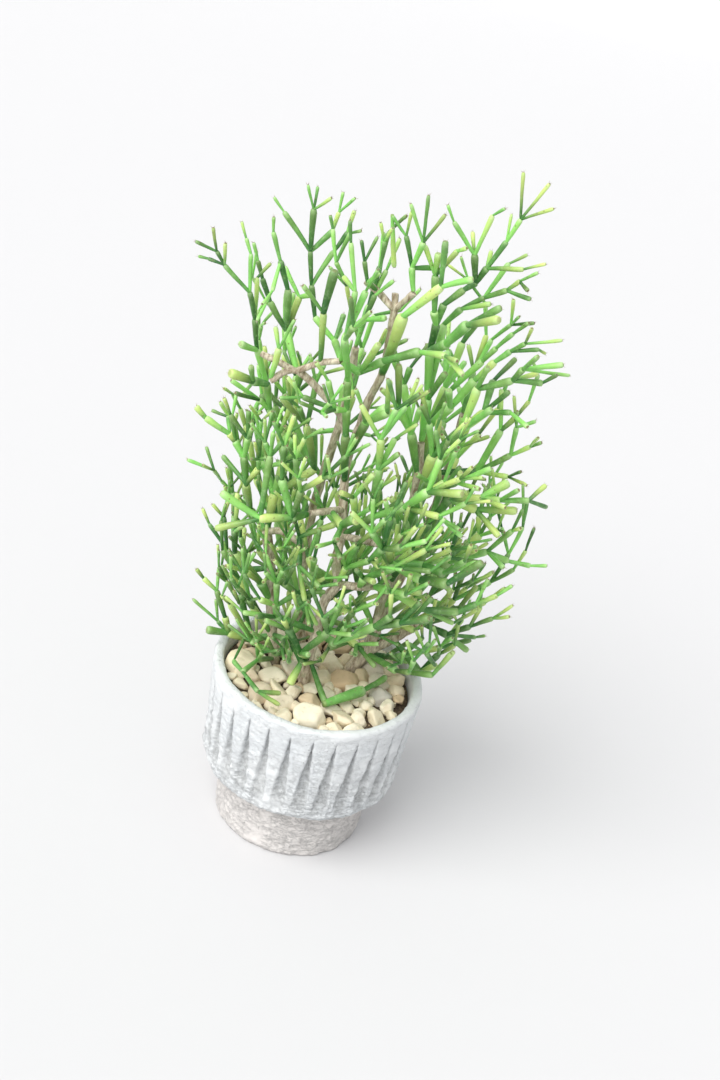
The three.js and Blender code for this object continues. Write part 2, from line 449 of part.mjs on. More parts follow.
class Plant {
  constructor(seed) {
    this.draw = new Draw(seed);
    this.segments = [];
    this.jointCount = 0;
    this.limbCount = 0;
    this.woodJoints = {};
  }

  nextLimb() {
    this.limbCount += 1;
    return this.limbCount;
  }

  // The least gap between a new segment and the others. Segments that share its first joint don't count,
  // unless they belong to another spray, and its own spray may come a little closer.
  gap(from, to, radius, joint, node) {
    const along = to.clone().sub(from);
    const length2 = along.dot(along);
    let least = 99;
    for (const other of this.segments) {
      const same = other.node === node;
      const meets = other.start === joint || other.end === joint;
      if (meets && (same || other.isWood)) continue;
      const way = other.to.clone().sub(other.seat);
      const apart = from.clone().sub(other.seat);
      const way2 = way.dot(way);
      const f = way.dot(apart);
      const c = along.dot(apart);
      const b = along.dot(way);
      const spread = Math.max(length2 * way2 - b * b, 1e-9);
      let here = clamp((b * f - c * way2) / spread);
      const there = clamp((b * here + f) / way2);
      here = clamp((b * there - c) / length2);
      const distance = apart.addScaledVector(along, here).addScaledVector(way, -there).length();
      const otherRadius = other.isWood ? other.radius : other.radius * swell(there);
      const gap = distance - sideFactor * (radius * swell(here) + otherRadius) + (same ? 0.25 : 0);
      least = Math.min(least, gap);
    }
    return least;
  }

  add(from, to, radius, joint, node, limb, lift = 0, isWood = false) {
    const seat = to.clone().sub(from).normalize().multiplyScalar(lift).add(from);
    const end = this.jointCount;
    this.jointCount += 1;
    const segment = { from, to, seat, radius, start: joint, end, node, limb, lift, isWood };
    this.segments.push(segment);
    return segment;
  }

  growWood() {
    for (const [node, limb, root, low, high, seen] of wood) {
      let at = root ? this.woodJoints[root[0]][root[1]] : { joint: this.jointCount, point: place(seen[0]) };
      if (!root) this.jointCount += 1;
      const joints = root ? [] : [at];
      const rest = root ? seen : seen.slice(1);
      rest.forEach((spot, index) => {
        const radius = 0.5 * (low + (high - low) * (index + 0.5) / rest.length);
        const segment = this.add(at.point, place(spot), radius, at.joint, node, limb, 0, true);
        at = { joint: segment.end, point: segment.to };
        joints.push(at);
      });
      this.woodJoints[limb] = joints;
    }
  }

  // Where a spray sits on wood: the joint, and how far out its own solid starts.
  woodSeat(limb, index) {
    const { joint, point } = this.woodJoints[limb][index];
    const meeting = this.segments.filter((s) => s.isWood && (s.start === joint || s.end === joint));
    return { joint, point, lift: Math.max(...meeting.map((s) => s.radius)) + seatGap };
  }

  // A limb slides along the line of sight until it is clear, which leaves it where the eye sees it.
  growLimb(node, base, low, high, seen) {
    let best = { links: [] };
    for (const slide of slides) {
      const links = [];
      let point = base.point;
      for (let index = 0; index < seen.length; index += 1) {
        const radius = 0.5 * (low + (high - low) * index / Math.max(1, seen.length - 1));
        const to = place(seen[index], slide);
        const lift = index === 0 ? base.lift : 0;
        const from = to.clone().sub(point).normalize().multiplyScalar(lift).add(point);
        if (this.gap(from, to, radius, index === 0 ? base.joint : -1, node) < clearance) break;
        if (!clearOfPot(from, to, radius)) break;
        links.push({ radius, to, key: String(seen[index]) });
        point = to;
      }
      if (links.length > best.links.length) best = { links };
      if (links.length === seen.length) break;
    }
    const grown = {};
    const limb = this.nextLimb();
    let { point, joint } = base;
    best.links.forEach(({ radius, to, key }, index) => {
      const segment = this.add(point, to, radius, joint, node, limb, index === 0 ? base.lift : 0);
      [point, joint] = [to, segment.end];
      grown[key] = { point, joint, lift: 0 };
    });
    return grown;
  }

  growSprays() {
    for (const [node, limb, index, limbs] of sprays) {
      const known = {};
      limbs.forEach(([low, high, ...seen], order) => {
        const base = order === 0 ? this.woodSeat(limb, index) : known[String(seen[0])];
        if (!base) return;
        Object.assign(known, this.growLimb(node, base, low, high, order === 0 ? seen : seen.slice(1)));
      });
    }
  }

  // A limb that climbs outwards on its heading, and gives off side limbs right and left by turns.
  growReach(node, base, heading, rise, count, diameter, sideCount) {
    let { joint, point, lift } = base;
    const limb = this.nextLimb();
    const inner = [];
    let radius = diameter / 2;
    let lean = rise;
    for (let link = 0; link < count; link += 1) {
      let to = null;
      for (let attempt = 0; attempt < 14 && !to; attempt += 1) {
        const turn = heading + this.draw.within(-0.35, 0.35) * (1 + attempt / 3);
        const up = Math.min(1.45, lean + this.draw.within(-0.25, 0.25) * (1 + attempt / 5));
        const way = headed(turn, up);
        const tip = point.clone().addScaledVector(way, segmentLength(2 * radius));
        const from = point.clone().addScaledVector(way, lift);
        const free = insideCrown(tip, radius) && clearOfPot(from, tip, radius);
        if (free && this.gap(from, tip, radius, joint, node) > clearance) to = tip;
      }
      if (!to) break;
      joint = this.add(point, to, radius, joint, node, limb, lift).end;
      point = to;
      lift = 0;
      if (link < count - 1) inner.push({ joint, point, lift, radius });
      lean = Math.min(1.4, lean + 0.12);
      radius *= 0.84;
    }
    if (!sideCount) return;
    inner.forEach((joint, order) => {
      const turn = heading + (order % 2 ? 1 : -1) * sideTurn * degrees;
      this.growReach(node, joint, turn, rise + sideRise * degrees, sideCount, 2 * joint.radius * sideTaper, 0);
    });
  }

  // One side shoot at the end of a segment, kept clear of its sisters and of everything else.
  growShoot(segment, sisters, room) {
    const base = segment.to.clone().sub(segment.from).normalize();
    const side = base.clone().cross(new THREE.Vector3(0.31, 0.27, 0.91)).normalize();
    const other = base.clone().cross(side);
    const taper = this.draw.within(...shootTaper);
    const radius = Math.max(shootThinnest, Math.min(shootThickest, segment.radius * taper));
    const length = segmentLength(2 * radius) * this.draw.within(0.75, 1.1);
    for (let attempt = 0; attempt < 6; attempt += 1) {
      const turn = this.draw.within(0, 2 * Math.PI);
      const tilt = this.draw.within(...shootTilt) * degrees;
      const way = base.clone().multiplyScalar(Math.cos(tilt));
      way.addScaledVector(side, Math.cos(turn) * Math.sin(tilt));
      way.addScaledVector(other, Math.sin(turn) * Math.sin(tilt));
      way.z += shootLift;
      way.normalize();
      if (sisters.some((sister) => sister.dot(way) > 0.88)) continue;
      const to = segment.to.clone().addScaledVector(way, length);
      if (!insideCrown(to, radius) || !clearOfPot(segment.to, to, radius)) continue;
      if (this.gap(segment.to, to, radius, segment.end, segment.node) < clearance) continue;
      const upper = segment.to.clone().addScaledVector(way, 0.6 * length);
      if (this.gap(upper, to, radius, segment.end, segment.node) < room) continue;
      this.add(segment.to, to, radius, segment.end, segment.node, this.nextLimb());
      sisters.push(way);
      return;
    }
  }

  growShoots(rounds) {
    let first = 0;
    for (const [share, room] of rounds) {
      const last = this.segments.length;
      for (const segment of this.segments.slice(first, last).filter((s) => !s.isWood)) {
        const kids = this.segments.filter((s) => !s.isWood && s.start === segment.end);
        const sisters = kids.map((s) => s.to.clone().sub(s.from).normalize());
        const thick = 2 * segment.radius;
        let wanted = first === 0 || thick > stoutDiameter ? whorl : whorl - 1;
        if (thick < fineDiameter && !kids.length) wanted = 0;
        for (let count = kids.length; count < wanted; count += 1) {
          if (this.draw.next() < share) this.growShoot(segment, sisters, room);
        }
      }
      first = last;
    }
  }
}

function growPlant() {
  const plant = new Plant(shootSeed);
  plant.growWood();
  plant.growSprays();
  for (const [node, limb, index, heading, rise, count, diameter] of reaches) {
    const base = plant.woodSeat(limb, index);
    plant.growReach(node, base, heading * degrees, rise * degrees, count, diameter, sideLinks);
  }
  plant.growShoots(shootRounds);
  return plant.segments;
}

// Closed solids from geometries, and back.
function solidOf(geometry) {
  const bare = geometry.clone();
  bare.deleteAttribute('normal');
  bare.deleteAttribute('uv');
  const merged = mergeVertices(bare, 1e-4);
  const vertProperties = Float32Array.from(merged.getAttribute('position').array);
  const triVerts = Uint32Array.from(merged.index.array);
  return new wasm.Manifold(new wasm.Mesh({ numProp: 3, vertProperties, triVerts }));
}

function geometryOf(solid) {
  const mesh = solid.getMesh();
  const geometry = new THREE.BufferGeometry();
  geometry.setAttribute('position', new THREE.BufferAttribute(mesh.vertProperties, 3));
  geometry.setIndex(new THREE.BufferAttribute(mesh.triVerts, 1));
  geometry.computeVertexNormals();
  return geometry;
}

const joined = (solids) => solids.reduce((whole, solid) => whole.add(solid));

// The largest body of a solid, without the loose scraps that a cut may leave.
function mainBody(solid) {
  const bodies = solid.decompose();
  return bodies.reduce((largest, body) => (body.volume() > largest.volume() ? body : largest));
}

// A closed solid from rings with the same number of corners each, counter-clockwise seen from the last one.
function loftSolid(rings) {
  const sides = rings[0].length;
  const last = (rings.length - 1) * sides;
  const faces = [];
  for (let corner = 2; corner < sides; corner += 1) {
    faces.push(0, corner, corner - 1);
    faces.push(last, last + corner - 1, last + corner);
  }
  for (let low = 0; low < last; low += sides) {
    for (let corner = 0; corner < sides; corner += 1) {
      const next = (corner + 1) % sides;
      faces.push(low + corner, low + next, low + sides + next);
      faces.push(low + corner, low + sides + next, low + sides + corner);
    }
  }
  const geometry = new THREE.BufferGeometry();
  const corners = rings.flat().flatMap((spot) => spot.toArray());
  geometry.setAttribute('position', new THREE.Float32BufferAttribute(corners, 3));
  geometry.setIndex(faces);
  return solidOf(geometry);
}

// A closed tube through points, with a radius at each.
function tubeSolid(points, radii, sides) {
  const whole = points.at(-1).clone().sub(points[0]).normalize();
  const reference = Math.abs(whole.z) > 0.7 ? new THREE.Vector3(0, 1, 0) : new THREE.Vector3(0, 0, 1);
  return loftSolid(points.map((point, index) => {
    const before = points[Math.max(0, index - 1)];
    const after = points[Math.min(points.length - 1, index + 1)];
    const way = after.clone().sub(before).normalize();
    const side = reference.clone().cross(way).normalize();
    const other = way.clone().cross(side);
    return Array.from({ length: sides }, (_, corner) => {
      const turn = 2 * Math.PI * corner / sides;
      const spot = point.clone().addScaledVector(side, radii[index] * Math.cos(turn));
      return spot.addScaledVector(other, radii[index] * Math.sin(turn));
    });
  }));
}

// The segments limb by limb, each in its order from the root.
const limbsOf = (links) => Object.values(Object.groupBy(links, (link) => link.limb));

// A green limb: bottle-shaped segments, thickest above their middle and pinched at the joints. Its root is
// sunk in what carries it, and its tip is blunt.
function greenLimbSolid(links) {
  const plain = links.length === 1 || links.every(({ radius }) => 2 * radius < slenderDiameter);
  const rings = [];
  links.forEach(({ from, to, radius, lift }, index) => {
    const way = to.clone().sub(from).normalize();
    const length = from.distanceTo(to);
    const wide = radius * sideFactor;
    const isLast = index === links.length - 1;
    const ring = (along, width) => rings.push([from.clone().addScaledVector(way, along), width]);
    if (index === 0) ring(lift > 0 ? lift - seatDepth : -0.5 * radius, neck * wide);
    if (!plain) ring(belly * length, wide);
    if (isLast) ring(length + 0.3 * radius, shoulder * wide);
    else ring(length, (plain ? shoulder : pinch) * wide);
  });
  return tubeSolid(rings.map(([spot]) => spot), rings.map(([, width]) => width), greenSides);
}

// A woody stem: each limb is one tube, which starts on the axis of the limb that it grows from.
function stemSolid(segments, node, extra) {
  const stem = segments.filter((segment) => segment.isWood && segment.node === node);
  return joined(limbsOf(stem).map((links) => {
    const points = [links[0].from, ...links.map((link) => link.to)];
    const end = points.at(-1).clone().sub(points.at(-2)).normalize();
    points[points.length - 1] = points.at(-1).clone().addScaledVector(end, extra);
    const radii = [links[0].radius, ...links.map((link) => link.radius)];
    return tubeSolid(points, radii.map((radius) => radius * barkFactor + extra), woodSides);
  }));
}

function spraySolid(segments, node, fatWood) {
  const whole = joined(limbsOf(segments.filter((s) => s.node === node)).map(greenLimbSolid));
  return mainBody(fatWood.reduce((rest, stem) => rest.subtract(stem), whole));
}

const circle = (radius, count, from = 0) => Array.from({ length: count }, (_, index) => {
  const turn = from + 2 * Math.PI * index / count;
  return [radius * Math.cos(turn), radius * Math.sin(turn), turn];
});

// The inside of the pot, from its middle outwards and up, drawn in by the gap that its filling keeps.
const cavity = (inset) => [
  [0, baseThickness + inset], [wellRadius - 4 - inset, baseThickness + inset],
  [wellRadius - inset, baseThickness + 4], [wellRadius - inset, cupBottom - 4],
  [cavityRadius - inset, cupBottom + 7], [rimRadius - lipWidth - inset, gravelTop],
];

// One flute's cutter: a V that opens downwards from a point, deepest in its upper half.
function fluteSolid(angle) {
  const rows = fluteRows.map(([part, ...shares]) => [fluteTop + (fluteFoot - fluteTop) * part, ...shares]);
  return loftSolid(rows.reverse().map(([height, width, share]) => {
    const wall = potWall(height);
    const depth = fluteDepth * share;
    const half = fluteHalfWidth * width * (1 + fluteFlare);
    const outer = wall + depth * fluteFlare;
    const section = [[wall - depth, 0], [outer, -half], [wall + fluteCover, 0], [outer, half]];
    return section.map(([out, aside]) => {
      const spot = new THREE.Vector3(out, aside, height);
      return spot.applyAxisAngle(new THREE.Vector3(0, 0, 1), angle);
    });
  }));
}

function potSolid() {
  const outside = [
    [0, 0], [footRadius - 1.5, 0], [footRadius, 1.5], [footRadius, cupBottom - 1.5],
    [cupBottomRadius - 2.6, cupBottom], [cupBottomRadius, cupBottom + 2.6],
    [rimRadius, potHeight - lipRound], [rimRadius - lipRound, potHeight],
    [rimRadius - lipWidth + lipRound, potHeight], [rimRadius - lipWidth, potHeight - lipRound],
  ];
  const profile = [...outside, ...cavity(0).reverse()].map(([out, height]) => new THREE.Vector2(out, height));
  let pot = solidOf(new THREE.LatheGeometry(profile, potSides).rotateX(Math.PI / 2));
  for (const [, , angle] of circle(rimRadius, fluteCount)) pot = pot.subtract(fluteSolid(angle));
  for (const [x, y] of circle(drainCircle, drainHoles, Math.PI / 2)) {
    const [low, high] = [new THREE.Vector3(x, y, -1), new THREE.Vector3(x, y, baseThickness + 1)];
    pot = pot.subtract(tubeSolid([low, high], [drainRadius, drainRadius], 8));
  }
  return pot;
}

function soilSolid(fatWood) {
  const filled = cavity(seatGap).filter(([, height]) => height < soilTop);
  const out = cavityRadius + (rimRadius - lipWidth - cavityRadius)
    * (soilTop - cupBottom - 7) / (gravelTop - cupBottom - 7) - seatGap;
  const profile = [...filled, [out, soilTop], [0, soilTop]].map(([x, z]) => new THREE.Vector2(x, z));
  const soil = solidOf(new THREE.LatheGeometry(profile, potSides).rotateX(Math.PI / 2));
  return mainBody(fatWood.reduce((rest, stem) => rest.subtract(stem), soil));
}

// Pebbles are thrown on the bed by a seeded draw, the largest first, and stay where they touch no stem.
function pebbleSpots(segments) {
  const draw = new Draw(pebbleSeed);
  const spots = [];
  const low = segments.filter((segment) => Math.min(segment.from.z, segment.to.z) < potHeight + 12);
  const closest = new THREE.Vector3();
  for (const size of pebbleSizes) {
    for (let attempt = 0; attempt < pebbleTries; attempt += 1) {
      const radius = 0.5 * size * draw.within(0.88, 1.12);
      const out = (rimRadius - lipWidth - 1 - radius) * Math.sqrt(draw.next());
      const turn = draw.within(0, 2 * Math.PI);
      const middle = new THREE.Vector3(out * Math.cos(turn), out * Math.sin(turn), gravelTop);
      middle.z += radius * draw.within(...pebbleSink);
      const apart = ({ spot, reach }) => spot.distanceTo(middle) > pebbleSpacing * (reach + radius);
      const clear = ({ from, to, radius: thick }) => {
        const line = new THREE.Line3(from, to);
        line.closestPointToPoint(middle, true, closest);
        return closest.distanceTo(middle) > radius + thick * sideFactor + seatGap;
      };
      if (spots.every(apart) && low.every(clear)) spots.push({ spot: middle, reach: radius });
    }
  }
  return spots.map((pebble) => ({ ...pebble, form: Array.from({ length: 6 }, () => draw.next()) }));
}

function pebbleSolid({ spot, reach, form }) {
  const stone = new THREE.IcosahedronGeometry(reach, 0);
  stone.scale(1, 0.72 + 0.22 * form[0], 0.6 + 0.2 * form[1]);
  stone.rotateX((form[2] - 0.5) * 0.9).rotateY((form[3] - 0.5) * 0.9).rotateZ(form[4] * 2 * Math.PI);
  stone.translate(spot.x, spot.y, spot.z);
  return solidOf(stone);
}

function gravelSolid(segments, fatWood) {
  const out = rimRadius - lipWidth - seatGap;
  const bed = [[0, soilTop + seatGap], [out - 0.3, soilTop + seatGap], [out - 0.1, gravelTop], [0, gravelTop]];
  const profile = bed.map(([x, z]) => new THREE.Vector2(x, z));
  const slab = solidOf(new THREE.LatheGeometry(profile, potSides).rotateX(Math.PI / 2));
  const below = [[0, 0], [rimRadius, 0], [rimRadius, soilTop + seatGap], [0, soilTop + seatGap]];
  const underside = solidOf(new THREE.LatheGeometry(below.map(([x, z]) => new THREE.Vector2(x, z)), potSides)
    .rotateX(Math.PI / 2));
  const gravel = joined([slab, ...pebbleSpots(segments).map(pebbleSolid)]).subtract(underside);
  return mainBody(fatWood.reduce((rest, stem) => rest.subtract(stem), gravel));
}

// Finishes.
const finishes = {
  pot: { color: 0xe9eaec, roughness: 0.9 },
  soil: { color: 0x3f2f22, roughness: 1 },
  gravel: { color: 0xd9c7a3, roughness: 0.85 },
  wood: { color: 0x8a7a66, roughness: 0.85 },
  green: { color: 0x5fa052, roughness: 0.5 },
};

function piece(name, solid, finish) {
  const mesh = new THREE.Mesh(geometryOf(solid), new THREE.MeshStandardMaterial({ metalness: 0, ...finish }));
  mesh.name = name;
  return mesh;
}

const segments = growPlant();
const stemNodes = [...new Set(wood.map(([node]) => node))];
const greenNodes = [...new Set(segments.filter((s) => !s.isWood).map((s) => s.node))];
const fatWood = stemNodes.map((node) => stemSolid(segments, node, barkGap));

const plant = new THREE.Group();
stemNodes.forEach((node) => plant.add(piece(node, stemSolid(segments, node, 0), finishes.wood)));
greenNodes.forEach((node) => plant.add(piece(node, spraySolid(segments, node, fatWood), finishes.green)));

const pottedCactus = new THREE.Group();
pottedCactus.add(piece('pot', potSolid(), finishes.pot));
pottedCactus.add(piece('soil', soilSolid(fatWood), finishes.soil));
pottedCactus.add(piece('gravel', gravelSolid(segments, fatWood), finishes.gravel));
pottedCactus.add(plant);

export default pottedCactus;
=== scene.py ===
"""A jointed cactus with thin bottle-shaped stem segments, in pebbles in a fluted cement pot."""

import json
import math

import bmesh
import bpy
import numpy as np
from mathutils import Matrix, Vector

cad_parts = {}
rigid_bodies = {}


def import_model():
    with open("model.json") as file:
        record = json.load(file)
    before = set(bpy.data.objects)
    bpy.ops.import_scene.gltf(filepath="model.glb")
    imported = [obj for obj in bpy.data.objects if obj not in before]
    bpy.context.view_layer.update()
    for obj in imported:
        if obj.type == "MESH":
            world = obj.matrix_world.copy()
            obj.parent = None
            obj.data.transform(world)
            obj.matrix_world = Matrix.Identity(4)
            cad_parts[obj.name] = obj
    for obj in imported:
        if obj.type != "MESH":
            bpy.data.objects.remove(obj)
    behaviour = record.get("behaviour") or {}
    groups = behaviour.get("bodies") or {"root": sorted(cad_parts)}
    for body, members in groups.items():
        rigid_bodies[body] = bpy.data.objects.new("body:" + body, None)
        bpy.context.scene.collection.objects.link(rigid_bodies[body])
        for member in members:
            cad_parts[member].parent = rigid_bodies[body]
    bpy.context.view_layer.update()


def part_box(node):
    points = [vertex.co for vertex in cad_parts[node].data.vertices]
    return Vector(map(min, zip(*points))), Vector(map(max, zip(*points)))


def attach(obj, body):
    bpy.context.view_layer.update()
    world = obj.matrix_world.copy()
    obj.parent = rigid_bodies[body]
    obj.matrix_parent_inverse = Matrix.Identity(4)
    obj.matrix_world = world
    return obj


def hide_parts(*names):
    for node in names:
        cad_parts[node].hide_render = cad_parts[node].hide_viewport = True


bl_info = {
    "name": "Potted Jointed Cactus",
    "version": (1, 0, 0),
    "blender": (4, 5, 0),
    "location": "View3D > Sidebar > Cactus",
    "description": "Dresses a potted cactus: pot, soil, pebbles, woody stems and green sprays",
    "category": "Add Mesh",
}

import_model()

# Sizes below are in millimetres unless a line says otherwise, and meshes are made in metres.
MM = 0.001
POT_LOW, POT_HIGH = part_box("pot")
POT_HEIGHT = round(POT_HIGH.z / MM, 3)
RIM_RADIUS = round(0.5 * (POT_HIGH.y - POT_LOW.y) / MM, 3)
LIP_WIDTH = 5
CUP_BOTTOM = 32
CUP_BOTTOM_RADIUS = 46.8
SEAT_GAP = 0.3
GRAVEL_TOP = 80

# The plant is grown here by the same rule as its solids, so that each piece lies where its solid lies.
EYE_BACK = 541
EYE_UP = 465.5

# A segment's neck, as a share of its radius, and how far along, as a share, it has its full radius. Gaps
# are kept from a body that is wider than the segment by the side factor.
NECK = 0.55
FULL_WIDTH = 0.5
SIDE_FACTOR = 1.2
CLEARANCE = 0.35
SAME_NODE_EASE = 0.25
SLIDES = (0, 4, -4, 8, -8, 12, -12, 16, -16, 22, -22)

# Wood: node, limb, the limb and joint it grows from, low and high diameter, joints as they are seen.
WOOD = [
    ["stem_centre", "centre", None, 4.8, 3.0, [[-6, 72, -6], [-6, 90, -7], [-5, 105, -8], [-5, 122, -8],
        [-1, 133, -8], [-4, 145, -5], [-4, 158, -2], [-6, 171, 0], [-8, 184, 2], [-9, 197, 3], [-7, 212, 3],
        [-6, 224, 2], [-3, 237, 1], [-3, 250, 0], [-4, 266, 0]]],
    ["stem_centre", "crown stub", ["centre", 14], 2.8, 2.6, [[-5, 273, 1]]],
    ["stem_centre", "crown right", ["centre", 14], 2.8, 2.4, [[2, 275, -4]]],
    ["stem_centre", "crown left", ["centre", 14], 2.8, 2.4, [[-12, 272, 4], [-18, 275, 6]]],
    ["stem_centre", "low right arm", ["centre", 4], 3.6, 3.2, [[9, 134, -13], [15, 136, -17]]],
    ["stem_centre", "middle arm", ["centre", 6], 3.2, 2.8, [[3, 158, -9], [13, 158, -15]]],
    ["stem_centre", "low left arm", ["centre", 7], 3.2, 2.8, [[-11, 169, -8], [-20, 165, -14]]],
    ["stem_centre", "fork", ["centre", 9], 3.4, 2.8, [[-15, 213, 0], [-22, 220, -3], [-38, 230, -6],
        [-48, 223, -8]]],
    ["stem_centre", "fork right", ["fork", 2], 2.8, 2.6, [[-29, 236, -8], [-21, 239, -10]]],
    ["stem_centre", "fork up", ["fork", 2], 2.8, 2.6, [[-54, 234, -2]]],
    ["stem_left", "left", None, 5.2, 4.6, [[-20, 72, 6], [-22, 85, 6], [-25, 98, 7], [-29, 116, 8],
        [-32, 133, 8], [-37, 151, 8]]],
    ["stem_left", "left twig", ["left", 5], 3.4, 3.0, [[-30, 153, 3], [-21, 149, -3]]],
    ["stem_right", "right", None, 6.4, 3.4, [[10, 72, 12], [14, 88, 13], [19, 100, 14], [21, 113, 15],
        [21, 126, 15], [22, 140, 16], [22, 154, 16], [23, 168, 16], [23, 182, 15], [22, 196, 13],
        [20, 211, 12]]],
    ["stem_right", "right low", ["right", 2], 4.6, 3.8, [[30, 111, 12], [40, 123, 8]]],
    ["stem_back", "back", None, 5.6, 3.0, [[-7, 74, 24], [-11, 96, 27], [-15, 118, 30], [-18, 140, 32],
        [-19, 162, 33], [-18, 184, 33], [-16, 206, 31], [-15, 228, 28], [-16, 246, 25]]],
    ["stem_back_right", "back right", None, 5.2, 3.0, [[14, 76, 28], [18, 98, 32], [22, 120, 35],
        [26, 142, 37], [30, 164, 37], [33, 186, 35], [34, 208, 32], [34, 228, 28]]],
]

